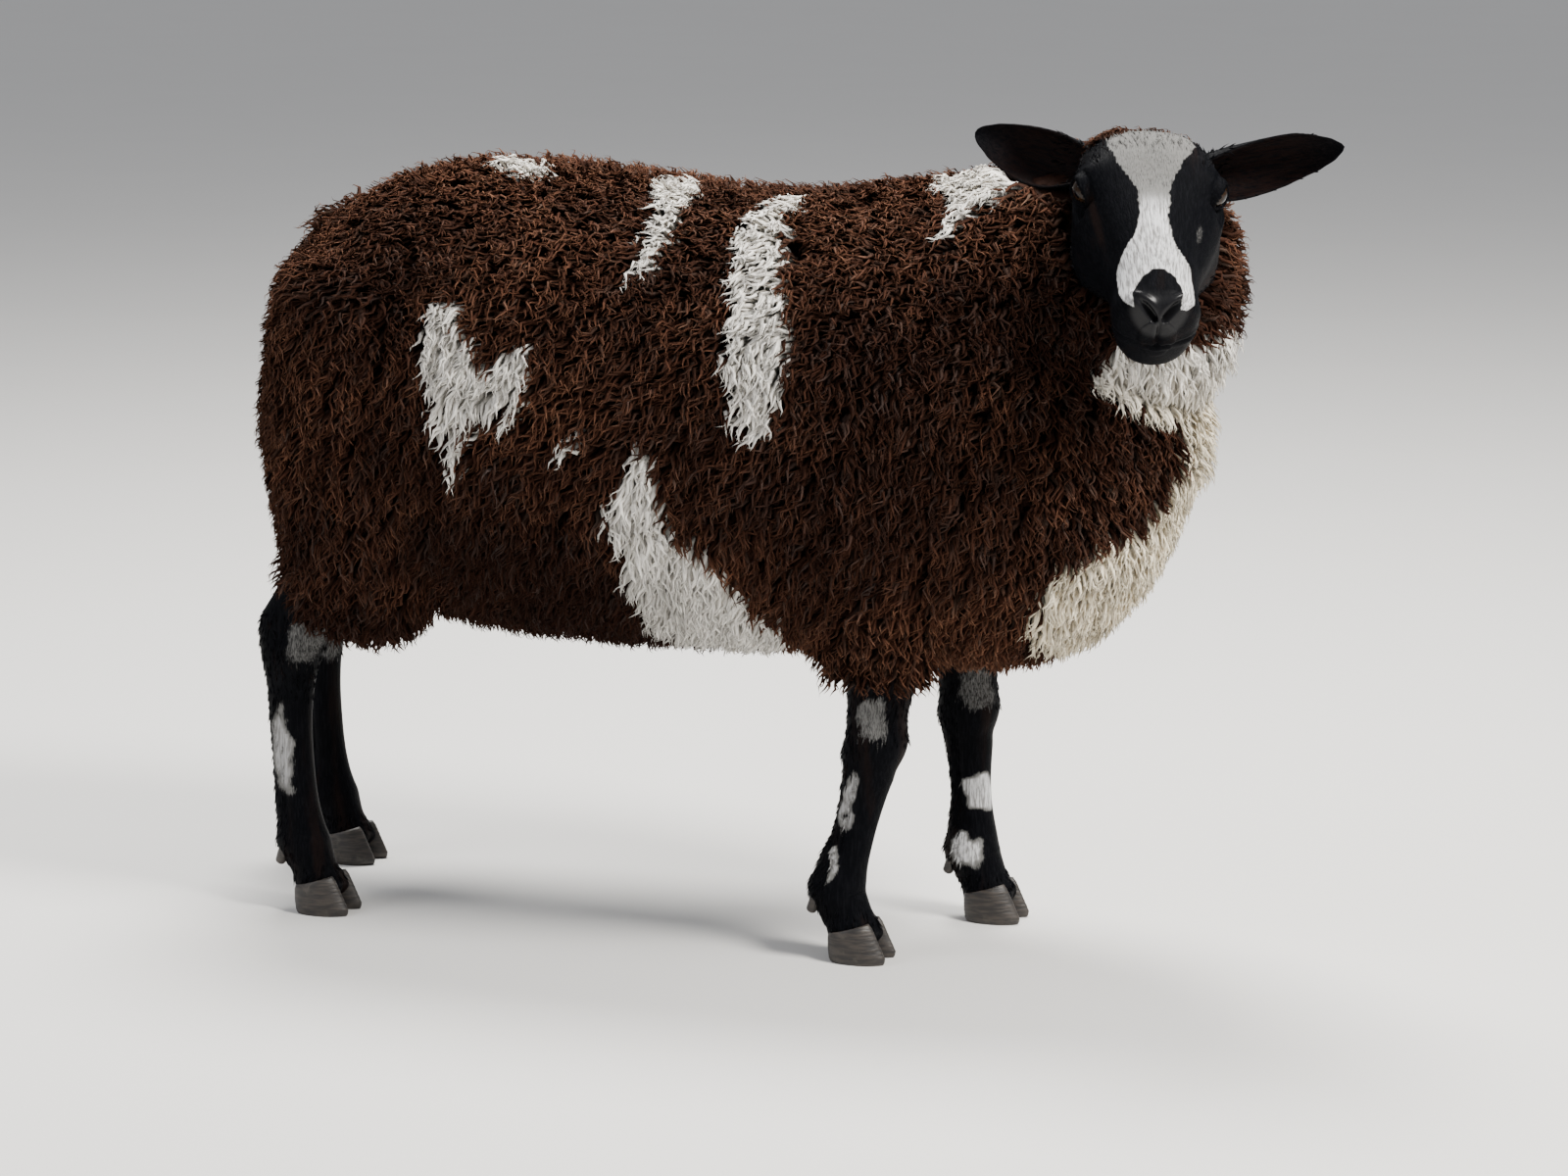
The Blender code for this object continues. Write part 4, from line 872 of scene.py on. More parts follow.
coatLooks = {
    # the black hair is tinted blue as painted skylight in shade, and its sheen colour is a painted sheen laid
    # in streaks
    "blackHair": (0.0021, 0.0023, 0.0031),
    "blackHairSheen": (0.0050, 0.0052, 0.0066),
    "brownTinge": (0.0092, 0.0056, 0.0050),
    "whiteHair": (0.62, 0.62, 0.63),
    "greyHair": (0.20, 0.195, 0.19),
    "dullHair": (0.150, 0.148, 0.143),
    "cupSkin": (0.0080, 0.0044, 0.0040),
    "noseSkin": (0.0060, 0.0060, 0.0070),
    "underWool": (0.020, 0.0090, 0.0062),
    "underWhite": (0.56, 0.53, 0.48),
    "brownRoot": (0.0165, 0.0075, 0.0054),
    "brownMiddle": (0.034, 0.0145, 0.0092),
    "brownTip": (0.090, 0.0355, 0.0205),
    "bleachedTip": (0.250, 0.118, 0.068),
    "whiteRoot": (0.60, 0.57, 0.52),
    "whiteTip": (0.84, 0.83, 0.81),
    "creamTip": (0.85, 0.75, 0.56),
}


def skinMaterial():
    paint, look = Paint("shortHair"), coatLooks
    mix, ramp, times, work, shader = paint.mix, paint.ramp, paint.times, paint.work, paint.shader
    grain = paint.read("grain", "Vector")
    white, cup, bare, woolly = (paint.read(name) for name in ("white", "cup", "bare", "woolly"))
    fine, streak = paint.noise(grain, 1500, 3, 0.6), paint.noise(grain, 520, 4, 0.6)
    dark = mix(ramp(streak, 0.42, 0.72), look["blackHair"], look["blackHairSheen"])
    dark = mix(ramp(paint.noise(grain, 45, 3, 0.5), 0.52, 0.75), dark, look["brownTinge"])
    pale = mix(ramp(streak, 0.35, 0.62), look["greyHair"], look["whiteHair"])
    pale = mix(ramp(white, 0.97, 0.66), pale, look["dullHair"])
    edge = work("ADD", white, times(work("SUBTRACT", fine, 0.5), 0.9))
    colour = mix(ramp(edge, 0.35, 0.65), dark, pale)
    colour = mix(times(cup, ramp(streak, 0.3, 0.6)), colour, look["cupSkin"])
    colour = mix(woolly, colour, mix(white, look["underWool"], look["underWhite"]))
    nose = times(bare, work("SUBTRACT", 1.0, ramp(white, 0.2, 0.7)))
    paint.feed(shader.inputs["Base Color"], mix(nose, colour, look["noseSkin"]))
    paint.feed(shader.inputs["Roughness"], paint.between(nose, 0.46, 0.34))
    paint.feed(shader.inputs["Coat Weight"], times(nose, 0.30))
    shader.inputs["Specular IOR Level"].default_value = 0.018
    shader.inputs["Coat Roughness"].default_value = 0.28
    paint.relief(work("ADD", times(fine, 0.5), streak), 0.0011, 0.75)
    return paint.made


def woolMaterial():
    paint, look = Paint("curlyWool"), coatLooks
    mix, ramp, times, shader = paint.mix, paint.ramp, paint.times, paint.shader
    white, tip, toneAndPaintedLight, tipTintAndPaintedLight = (paint.read(name) for name in ("white", "tip", "toneAndPaintedLight", "tipTintAndPaintedLight"))
    brown = mix(ramp(tip, 0.10, 0.60), look["brownRoot"], look["brownMiddle"])
    # lighter, bleached tips where the sun bleached them, with painted light added
    brown = mix(times(ramp(tip, 0.50, 0.95), tipTintAndPaintedLight), brown, look["brownTip"])
    brown = mix(times(ramp(tip, 0.72, 1.0), times(tipTintAndPaintedLight, toneAndPaintedLight)), brown, look["bleachedTip"])
    tipWhite = mix(tipTintAndPaintedLight, look["whiteTip"], look["creamTip"])
    pale = mix(ramp(tip, 0.0, 0.55), look["whiteRoot"], tipWhite)
    fibres = paint.noise(paint.read("strand", "Vector"), 1.0, 3, 0.6)
    deep = mix(white, look["brownRoot"], look["whiteRoot"])
    colour = mix(times(ramp(fibres, 0.60, 0.34), 0.55), mix(white, brown, pale), deep)
    # each lock's lightness: random tone with painted light and shade
    lit = paint.node("HueSaturation", (("Value", paint.between(toneAndPaintedLight, 0.58, 1.26)), ("Color", colour)))
    paint.feed(shader.inputs["Base Color"], lit["Color"])
    shader.inputs["Roughness"].default_value = 0.75
    shader.inputs["Specular IOR Level"].default_value = 0.02
    paint.relief(fibres, 0.0007, 0.9)
    return paint.made


def hornMaterial():
    paint = Paint("hoofHorn")
    place = paint.place()
    rings = paint.node("VectorMath", ((0, place), (1, Vector((0.15, 0.15, 1.0)))), operation="MULTIPLY")
    growth = paint.noise(rings["Vector"], 420, 3, 0.5)
    patch = paint.noise(place, 60, 4, 0.6)
    colour = paint.mix(paint.ramp(growth, 0.35, 0.7), (0.012, 0.010, 0.009), (0.038, 0.030, 0.024))
    colour = paint.mix(paint.ramp(patch, 0.55, 0.8), colour, (0.070, 0.060, 0.048))
    paint.feed(paint.shader.inputs["Base Color"], colour)
    paint.shader.inputs["Roughness"].default_value = 0.50
    paint.relief(growth, 0.0009, 0.8)
    return paint.made


def eyeMaterial():
    # brown iris with a dark rim and a pupil that lies across it
    paint = Paint("eyeball")
    mix, ramp, times, work, shader = paint.mix, paint.ramp, paint.times, paint.work, paint.shader
    gaze = paint.read("gaze", "Vector")
    apart = paint.node("SeparateXYZ", (("Vector", gaze),))
    u, v = apart["X"], apart["Y"]
    radius = work("SQRT", work("ADD", times(u, u), times(v, v)), 0.0)
    iris = ramp(paint.noise(gaze, 9, 4, 0.6), 0.35, 0.7)
    colour = mix(iris, (0.009, 0.0045, 0.0022), (0.022, 0.011, 0.005))
    colour = mix(ramp(radius, 0.60, 0.76), colour, (0.012, 0.008, 0.006))
    wide = work("POWER", work("POWER", times(u, 1 / 0.46), 2.0), 2.0)
    tall = work("POWER", times(v, 1 / 0.17), 2.0)
    pupil = ramp(work("ADD", wide, tall), 1.15, 0.85)
    paint.feed(shader.inputs["Base Color"], mix(pupil, colour, (0.002, 0.002, 0.003)))
    for name, value in (("Roughness", 0.10), ("Specular IOR Level", 0.10), ("Coat Weight", 0.14),
                        ("Coat Roughness", 0.04)):
        shader.inputs[name].default_value = value
    return paint.made


hairLook, woolLook, hornLook, eyeLook = skinMaterial(), woolMaterial(), hornMaterial(), eyeMaterial()
skin.data.shade_smooth()

wool = {
    "seed": 21,
    "spacing": 0.00438,
    "clusterSpacing": 0.0115,
    "length": 0.028,
    "width": 0.0031,  # half width of one lock
    "thickness": 0.0015,
    # places along a lock, close together where it curls in the open
    "steps": (0.0, 0.38, 0.58, 0.75, 0.89, 1.0),
    "curl": 0.0044,
    "turns": 1.7,
    "gather": 0.50,  # how far the tips of a cluster draw together
    "sway": (0.22, 0.21, 0.15),  # turn of its lie: over wide areas, by cluster, by lock
    "foreHem": 0.278,  # height where the wool ends on the forelegs
    "hindHem": 0.292,
    "hindRise": 1.1,  # how much higher that is for each metre further back
    "pieceFaces": 190000,
}


def surfaceSamples(mesh, spacing, seed, keepWhere):
    # about one sample for each small cube of space that the surface passes through
    mesh.calc_loop_triangles()
    points = meshArrays(mesh)
    tri = np.empty(len(mesh.loop_triangles) * 3, int)
    mesh.loop_triangles.foreach_get("vertices", tri)
    tri = tri.reshape(-1, 3)
    normals = np.empty(len(mesh.vertices) * 3)
    mesh.vertices.foreach_get("normal", normals)
    normals = normals.reshape(-1, 3)
    keep = keepWhere(points[tri].mean(axis=1), skinKind[tri[:, 0]])
    corner, bent = points[tri[keep]], normals[tri[keep]]
    area = np.linalg.norm(np.cross(corner[:, 1] - corner[:, 0], corner[:, 2] - corner[:, 0]), axis=1) / 2
    draw = np.random.default_rng(seed)
    count = int(area.sum() / spacing**2 * 5)
    pick = draw.choice(len(corner), count, p=area / area.sum())
    a, b = draw.random((2, count))
    over = a + b > 1
    a[over], b[over] = 1 - a[over], 1 - b[over]
    weight = np.column_stack([1 - a - b, a, b])
    place = np.einsum("ij,ijk->ik", weight, corner[pick])
    normal = unit(np.einsum("ij,ijk->ik", weight, bent[pick]))
    cell = np.floor(place / (spacing * 1.22)).astype(np.int64)
    key = (cell[:, 0] * 4099 + cell[:, 1]) * 4099 + cell[:, 2]
    _, first = np.unique(key, return_index=True)
    return place[first], normal[first]


def insideHead(points):
    # 0 at the middle line of the head, 1 at its surface, more outside
    q = toHead(points)
    rows = splineRows(head["sections"], q[:, 0])
    top, bottom, widest, width = rows[:, 0], rows[:, 1], rows[:, 2], rows[:, 3]
    rise = np.where(q[:, 2] > widest, top - widest, widest - bottom)
    return np.hypot(q[:, 1] / width, (q[:, 2] - widest) / rise), q


def woolHere(points, kind):
    # places that carry wool: all of the body but the face, the ears, and the bare legs below the hems
    depth, q = insideHead(points)
    onLeg, onHead = (kind > 0.5) & (kind < 1.5), (kind > 1.5) & (kind < 2.5)
    keep = ((kind < 0.5) & (depth > 1.0)) | onLeg | (onHead & (q[:, 0] < -0.030))
    # and a patch beside the right ear
    keep |= onHead & (q[:, 0] < -0.004) & (q[:, 1] > -0.050) & (q[:, 1] < -0.020) & (q[:, 2] > -0.04)
    x, y, z = points.T
    hindHem = (x < -0.25) & (z < wool["hindHem"] + np.clip((-0.385 - x) * wool["hindRise"], 0, 0.075))
    foreHem = (x > 0.05) & (x < 0.30) & (z < wool["foreHem"])
    return keep & ~((hindHem | foreHem) & (np.abs(y) > 0.045))


def lieOfWool(points, normals):
    # back and down the sides, straight down on haunch, breast and neck, back under the belly
    x, y, z = points.T
    part = np.clip(y / 0.03, -1, 1)
    way = np.column_stack([-0.62 + 0.40 * np.abs(normals[:, 2]), part * normals[:, 2], -part * normals[:, 1]])
    down = np.column_stack([np.full(len(x), -0.12), np.where(y > 0, 0.25, -0.25), np.full(len(x), -1.0)])
    fromFace = np.linalg.norm((toHead(points) - (0.02, 0, -0.07)) * (1, 1, 0.8), axis=1)
    back = unit(points - (headPlace[:3, 3] + headPlace[:3, 0] * 0.06)) * 0.6 + np.array((-0.3, 0.35, -0.5))
    for share, other in (
        (np.maximum(smoothStep(-0.15, -0.26, x), smoothStep(0.26, 0.38, x)), down),
        (smoothStep(-0.35, -0.75, normals[:, 2]), np.array((-0.8, 0.0, -0.6))),
        (smoothStep(0.36, 0.30, z), np.array((-0.15, 0.0, -1.0))),
        (smoothStep(0.16, 0.08, fromFace) * (z > 0.55), back),
    ):
        way = way * (1 - share[:, None]) + other * share[:, None]
    return alongSkin(way, normals)


def alongSkin(way, normals):
    # a direction laid flat on the skin
    return unit(way - normals * np.einsum("ij,ij->i", way, normals)[:, None])


def turned(way, normals, angle):
    return way * np.cos(angle)[:, None] + np.cross(normals, way) * np.sin(angle)[:, None]


def lockSizes(points):
    # share of the full length, and of the full depth, at each root
    x, y, z = points.T
    size, depth = np.ones(len(points)), np.ones(len(points))
    tail = (x < -0.425) & (np.abs(y) < 0.055)
    size[tail], depth[tail] = 0.75, 0.50
    poll = smoothStep(0.12, 0.06, np.linalg.norm(toHead(points) - (-0.02, 0, -0.03), axis=1))
    hem = smoothStep(0.33, 0.28, z) * (np.abs(y) > 0.04) * ((x < -0.24) | ((x > 0.05) & (x < 0.3)))
    breast = smoothStep(0.28, 0.36, x) * smoothStep(0.55, 0.45, z)
    low = (x < -0.40) & (z < 0.46)
    lower = smoothStep(0.37, 0.28, z)
    size *= (1 - 0.55 * poll) * (1 - 0.55 * lower) * (1 - 0.35 * breast) * (1 - 0.25 * low)
    depth *= (1 - 0.72 * poll) * (1 - 0.25 * hem) * (1 - 0.22 * breast) * (1 - 0.3 * low)
    return size, depth


def growLocks():
    place, normal = surfaceSamples(skin.data, wool["spacing"], wool["seed"], woolHere)
    middle, _ = surfaceSamples(skin.data, wool["clusterSpacing"], wool["seed"] + 1, woolHere)
    draw = np.random.default_rng(wool["seed"] + 2)
    cluster = nearestOf(middle, place)
    count, clusters = len(place), len(middle)
    lie = lieOfWool(place, normal)
    pale = bodyWhite(place + normal * 0.02 + lie * 0.02)
    # white wool hangs more than brown
    down = np.column_stack([np.full(count, -0.18), 0.4 * np.sign(place[:, 1]), np.full(count, -1.0)])
    lie = unit(lie + alongSkin(down, normal) * (0.9 * pale * (normal[:, 2] < 0.75))[:, None])
    size, depth = lockSizes(place)
    wide, byCluster, byLock = wool["sway"]
    sway = Wobble(31, 0.16).at(place) * wide
    sway += draw.normal(0, byCluster, clusters)[cluster] + draw.normal(0, byLock, count)
    # on the back the wool parts every way and gathers less
    ruffled = smoothStep(0.55, 0.66, place[:, 2]) * (1 - 0.6 * pale)
    lie = turned(lie, normal, sway * (1 + 0.75 * ruffled))
    across = np.cross(normal, lie)
    length = wool["length"] * size * draw.uniform(0.75, 1.2, count)
    length *= (0.90 + 0.14 * pale) * (1 - 0.14 * ruffled)
    rise = body["woolDepth"] * depth * draw.uniform(0.84, 1.06, count)
    rise *= draw.uniform(0.90, 1.08, clusters)[cluster]
    pull = middle[cluster] - place
    pull -= normal * np.einsum("ij,ij->i", pull, normal)[:, None]
    start = draw.uniform(0, 2 * math.pi, clusters)[cluster] + draw.normal(0, 0.7, count)
    turns = wool["turns"] * draw.uniform(0.75, 1.3, count)
    swing = wool["curl"] * draw.uniform(0.6, 1.5, count)
    swing *= (0.5 + 0.5 * size) * (1 - 0.25 * pale) * (1 + 0.25 * ruffled)
    centres = []
    for t in wool["steps"]:
        up = rise * (1 - (1 - t) ** (1.45 + 0.55 * pale)) - 0.004 * (1 - t)
        go = length * (0.16 * t + 0.84 * t**1.7)
        phase = start + turns * 2 * math.pi * t
        up += swing * 0.55 * np.cos(phase) * t**0.8
        sideways = swing * np.sin(phase) * t**0.8
        gather = wool["gather"] * t**1.2 * (1 - 0.45 * ruffled)
        parts = ((normal, up), (lie, go), (across, sideways), (pull, gather))
        centres.append(place + sum(way * far[:, None] for way, far in parts) - (0, 0, 0.004 * t**2))
    return place, normal, lie, np.stack(centres, axis=1), cluster, size, pale, draw


def dropCrossing(centres):
    # locks that would lie over the face, the eyes or inside the head are left out
    count, steps = centres.shape[:2]
    depth, q = insideHead(centres.reshape(-1, 3))
    bad = (depth < 1.08) & (q[:, 0] > 0.012) & (q[:, 0] < 0.2)
    for side in (1, -1):
        pointsTo, opens, across, root = earAxes(side)
        rel = q - root
        along, beside, above = rel @ pointsTo, rel @ across, rel @ opens
        reach = 0.034 * np.clip(1.15 - np.abs(along / ears["length"] - 0.45), 0, 1)
        onEar = (along > 0.030) & (along < ears["length"] + 0.012)
        bad |= onEar & (np.abs(beside) < reach) & (above > -0.030) & (above < 0.080)
    return ~bad.reshape(count, steps).any(axis=1)


def tubeLocks(centres, normal, width, thickness, twist, t):
    # three-sided tapering locks, one closed mesh each, as arrays
    count, steps = centres.shape[0], centres.shape[1] - 1
    tangent = unit(np.gradient(centres, axis=1))
    side = unit(np.cross(normal[:, None, :], tangent))
    upWay = np.cross(tangent, side)
    points = np.empty((count, steps * 3 + 1, 3))
    taper = (0.75 + 0.40 * np.sin(math.pi * np.clip(t * 0.9 + 0.1, 0, 1))) * (1 - t**2.4)
    for i in range(steps):
        for k in range(3):
            angle = 2 * math.pi * k / 3 + math.pi / 2 + twist * t[i]
            offset = (side[:, i] * (np.cos(angle) * width * taper[i])[:, None]
                      + upWay[:, i] * (np.sin(angle) * thickness * taper[i])[:, None])
            points[:, i * 3 + k] = centres[:, i] + offset
    points[:, -1] = centres[:, -1]
    faces = [(0, 2, 1)]
    for i in range(steps - 1):
        for k in range(3):
            a, b = i * 3 + k, i * 3 + (k + 1) % 3
            faces += [(a, b, b + 3), (a, b + 3, a + 3)]
    last = (steps - 1) * 3
    faces += [(last + k, last + (k + 1) % 3, steps * 3) for k in range(3)]
    return points, np.array(faces)


def unwrapPlace(points):
    # where each root lies on a roll-out of the skin: angle round its own limb, and the way along it
    x, y, z = points.T
    angle = np.arctan2(y, z - markings["axisHeight"]) / (2 * math.pi) + 0.5
    flat = np.column_stack([0.02 + 0.76 * np.clip((x + 0.50) / 1.02, 0, 1), 0.30 + 0.68 * angle])
    depth, q = insideHead(points)
    face = (depth < 1.15) & (q[:, 0] > -0.03) & (q[:, 0] < 0.22)
    flat[face, 0] = 0.81 + 0.17 * np.clip((q[face, 0] + 0.03) / 0.24, 0, 1)
    flat[face, 1] = 0.30 + 0.68 * (np.arctan2(q[face, 1], q[face, 2] + 0.06) / (2 * math.pi) + 0.5)
    for i, (name, side, keys) in enumerate(allLegs()):
        mine = (z < 0.32) & (y * side > 0.03) & ((x < -0.2) == name.startswith("hind"))
        turn = np.arctan2(y - keys[0][1], x - legMiddle(keys, z)) / (2 * math.pi) + 0.5
        flat[mine, 0] = (0.02 + 0.24 * i + 0.21 * turn)[mine]
        flat[mine, 1] = (0.02 + 0.25 * np.clip(z / 0.34, 0, 1))[mine]
    return flat


def coatPiece(name, points, faces, roots, fields, look):
    # one mesh from many locks of the same build
    count, each = points.shape[:2]
    allFaces = (faces[None] + (np.arange(count) * each)[:, None, None]).reshape(-1, 3)
    mesh = bpy.data.meshes.new(name)
    mesh.vertices.add(count * each)
    mesh.vertices.foreach_set("co", (points.reshape(-1, 3) + middleShift).ravel())
    mesh.loops.add(len(allFaces) * 3)
    mesh.loops.foreach_set("vertex_index", allFaces.ravel().astype(np.int32))
    mesh.polygons.add(len(allFaces))
    mesh.polygons.foreach_set("loop_start", np.arange(0, len(allFaces) * 3, 3, dtype=np.int32))
    mesh.update(calc_edges=True)
    mesh.validate()
    mesh.shade_smooth()
    for key, values in fields.items():
        giveNumbers(mesh, key, values.reshape(count * each, -1).squeeze())
    spin = np.tile(np.arange(each) % 3 / 2, (count, 1))
    flat = unwrapPlace(roots)[:, None] + (np.stack([fields["tip"], spin], axis=2) - 0.5) * 0.003
    layer = mesh.uv_layers.new(name="OFBake")
    layer.data.foreach_set("uv", flat.reshape(-1, 2)[allFaces.ravel()].ravel())
    mesh.materials.append(look)
    obj = bpy.data.objects.new(name, mesh)
    scene.collection.objects.link(obj)
    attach(obj, "root")


# painted light and shade on the wool: X, height, reach along X, reach up, painted light added to the tips'
# bleach, painted lightness of the brown
paintedLightOnWool = (
    # painted light on the flank
    (-0.15, 0.58, 0.10, 0.09, 0.25, 0.0),
    (0.28, 0.57, 0.15, 0.12, -0.46, -0.22),  # painted shadow beside the head
    (0.24, 0.36, 0.11, 0.09, 0.20, 0.16),  # painted light on the shoulder
    (-0.44, 0.60, 0.10, 0.10, 0.22, 0.16),  # painted light on the haunch
)


def woolTones(place, white, toneAndPaintedLight):
    # how far the sun has bleached each lock and how light it is, both with painted light and shade added
    x, z = place[:, 0], place[:, 2]
    tipTintAndPaintedLight = 0.42 + 0.34 * Wobble(42, 0.17).at(place) + 0.20 * Wobble(43, 0.05).at(place)
    # redder tips low on the front of the shoulder, and lighter tips along the top of the back from bleaching
    # and painted light from above
    tipTintAndPaintedLight += 0.30 * smoothStep(0.42, 0.30, z) * smoothStep(-0.02, 0.08, x) + 0.55 * smoothStep(0.60, 0.73, z)
    # painted shade darkens the lower flank and belly, and painted light lightens the top of the back
    belly = smoothStep(0.46, 0.34, z) * smoothStep(0.04, -0.08, x) * smoothStep(-0.30, -0.22, x)
    tipTintAndPaintedLight -= 0.55 * belly
    toneAndPaintedLight = np.clip(toneAndPaintedLight + 0.22 * smoothStep(0.62, 0.72, z) - 0.45 * belly, 0, 1)
    for middle, height, reachX, reachZ, paintedTipLight, paintedLightness in paintedLightOnWool:
        near = bell(x - middle, reachX) * bell(z - height, reachZ)
        tipTintAndPaintedLight += paintedTipLight * near
        toneAndPaintedLight = np.clip(toneAndPaintedLight + paintedLightness * near * (white < 0.5), 0, 1)
    cream = 0.25 + 0.8 * smoothStep(0.20, 0.34, x) * smoothStep(0.62, 0.5, z)
    return np.clip(np.where(white > 0.5, cream, tipTintAndPaintedLight), 0, 1), toneAndPaintedLight


def lockTips(t, count):
    # how far along its lock each point of tubeLocks lies
    return np.tile(np.append(np.repeat(t[:-1], 3), 1.0), (count, 1))


def woolPieces():
    place, normal, lie, centres, cluster, size, pale, draw = growLocks()
    keep = dropCrossing(centres)
    place, normal, lie, centres, cluster, size, pale = (
        values[keep] for values in (place, normal, lie, centres, cluster, size, pale))
    count = len(place)
    broad = (0.72 + 0.28 * size) * (1 + 0.16 * pale)
    width = wool["width"] * broad * draw.uniform(0.75, 1.25, count)
    thickness = wool["thickness"] * broad * draw.uniform(0.8, 1.2, count)
    t = np.array(wool["steps"])
    points, faces = tubeLocks(centres, normal, width, thickness, draw.normal(0, 1.2, count), t)
    each = points.shape[1]
    # a lock is white or brown as a whole, as the markings say where its tip lies and where its cluster stands
    clusterPlace = np.zeros((cluster.max() + 1, 3))
    np.add.at(clusterPlace, cluster, place)
    clusterPlace /= np.maximum(np.bincount(cluster), 1)[:, None]
    ahead = centres[:, 3]
    own = np.maximum(bodyWhite(ahead), legWhite(ahead) * (ahead[:, 2] < 0.33))
    group = bodyWhite(clusterPlace[cluster] + lie * 0.016)
    white = (own * 0.65 + group * 0.35 + draw.normal(0, 0.08, count) > 0.5) * 1.0
    white = np.clip(white + draw.normal(0, 0.012, count), 0, 1)
    # random tone of each lock, to which woolTones adds painted light and shade
    toneAndPaintedLight = np.clip(draw.normal(0.5, 0.20, count) + 0.16 * Wobble(41, 0.06).at(place), 0, 1)
    tipTintAndPaintedLight, toneAndPaintedLight = woolTones(place, white, toneAndPaintedLight)
    tip = lockTips(t, count)
    angle = np.tile(np.append(np.tile((0.0, 1.0, 2.0), len(t) - 1), 1.0), (count, 1))
    wave = 0.5 * np.sin(tip * 26 + draw.uniform(0, 6, (count, 1)))
    fields = {name: np.repeat(values[:, None], each, 1)
              for name, values in (("white", white), ("toneAndPaintedLight", toneAndPaintedLight), ("tipTintAndPaintedLight", tipTintAndPaintedLight))}
    fields["tip"] = tip
    along = tip * 0 + draw.uniform(0, 90, (count, 1))
    fields["strand"] = np.stack([angle * 3.2 + wave, tip * 4.0, along], axis=2)
    parts = int(math.ceil(count / (wool["pieceFaces"] // len(faces))))
    for i, chosen in enumerate(np.array_split(np.lexsort((place[:, 0],)), parts)):
        some = {key: values[chosen] for key, values in fields.items()}
        coatPiece("fleece_%02d" % (i + 1), points[chosen], faces, place[chosen], some, woolLook)
    print("ram: wool,", count, "locks in", parts, "pieces,", count * len(faces), "faces")


woolPieces()

hair = {
    "seed": 57,
    "spacing": 0.0050,
    "length": 0.0085,
    "width": 0.0010,
    "thickness": 0.0006,
    "lift": 0.20,
    "sway": 0.22,
    "fromEye": 0.024,  # clear skin round the middle of the eye
    "steps": (0.0, 0.55, 1.0),
}


def hairHere(points, kind):
    # edges of the face, poll, brows, chin, ears, and the backs and hems of the legs
    depth, q = insideHead(points)
    x, y, z = q.T
    face = (x < 0.022) | ((z < -0.088) & (x < 0.16)) | ((np.abs(y) > 0.045) & (z > -0.03) & (x < 0.035))
    eyeNear = np.linalg.norm(np.column_stack([x, np.abs(y), z]) - eye["place"], axis=1) < hair["fromEye"]
    px, py, pz = points.T
    low = (pz > 0.035) & (pz < 0.30)
    legBack = np.zeros(len(points), bool)
    for name, side, keys in allLegs():
        middle = legMiddle(keys, pz)
        mine = (np.hypot(px - middle, py - keys[0][1]) < 0.06) & (np.sign(py) == side)
        legBack |= mine & low & ((px < middle - 0.006) | (pz > 0.215) | (pz < 0.05))
    keep = (kind > 1.5) & (kind < 2.5) & face & ~eyeNear & (depth > 0.9)
    keep |= (kind < 0.5) & ~woolHere(points, kind) & (pz < 0.40)
    fromMiddle = np.linalg.norm(q - (0, 0, -0.05), axis=1)
    keep |= (kind > 2.5) & (fromMiddle > 0.045) & (fromMiddle < 0.155)
    return keep | ((kind > 0.5) & (kind < 1.5) & legBack)


def lieOfHair(points, normals):
    q = toHead(points)
    onHead = (points[:, 2] > 0.45)[:, None]
    way = np.where(onHead, headPlace[:3, :3] @ np.array((-1.0, 0, -0.25)), np.array((-0.12, 0.0, -1.0)))
    for side in (1, -1):
        pointsTo, opens, across, root = earAxes(side)
        along = (q - root) @ pointsTo
        away = np.linalg.norm(q - root - np.outer(along, pointsTo), axis=1)
        onEar = ((along > 0.035) & (away < 0.06) & (q[:, 1] * side > 0.05))[:, None]
        way = np.where(onEar, headPlace[:3, :3] @ (pointsTo + across * 0.25 * side), way)
    return alongSkin(way, normals)


def hairPiece():
    place, normal = surfaceSamples(skin.data, hair["spacing"], hair["seed"], hairHere)
    draw = np.random.default_rng(hair["seed"])
    count = len(place)
    lie = turned(lieOfHair(place, normal), normal, draw.normal(0, hair["sway"], count))
    t = np.array(hair["steps"])
    q = toHead(place)
    onEar = (np.abs(q[:, 1]) > 0.075) & (place[:, 2] > 0.45)
    length = hair["length"] * draw.uniform(0.7, 1.3, count) * np.where(onEar, 0.55, 1.0)
    lift = hair["lift"] * draw.uniform(0.4, 1.5, count) * np.where(onEar, 0.45, 1.0)
    centres = (place[:, None] + lie[:, None] * (length[:, None] * t)[:, :, None]
               + normal[:, None] * ((length * lift)[:, None] * t**0.8 - 0.0006)[:, :, None])
    points, faces = tubeLocks(centres, normal, hair["width"] * draw.uniform(0.7, 1.2, count),
                              np.full(count, hair["thickness"]), draw.normal(0, 0.5, count), t)
    each = points.shape[1]
    onFace = (q[:, 0] > -0.04) & (np.abs(q[:, 1]) < 0.075)
    white = np.where(place[:, 2] > 0.45, headWhite(q) * onFace, legWhite(place))
    tip = lockTips(t, count)
    fields = {"tip": tip, "white": np.repeat(white[:, None], each, 1), "cup": tip * 0, "bare": tip * 0,
              "woolly": tip * 0, "grain": points}
    coatPiece("short_hair", points, faces, place, fields, hairLook)
    print("ram: short hair,", count, "tufts,", count * len(faces), "faces")


hairPiece()

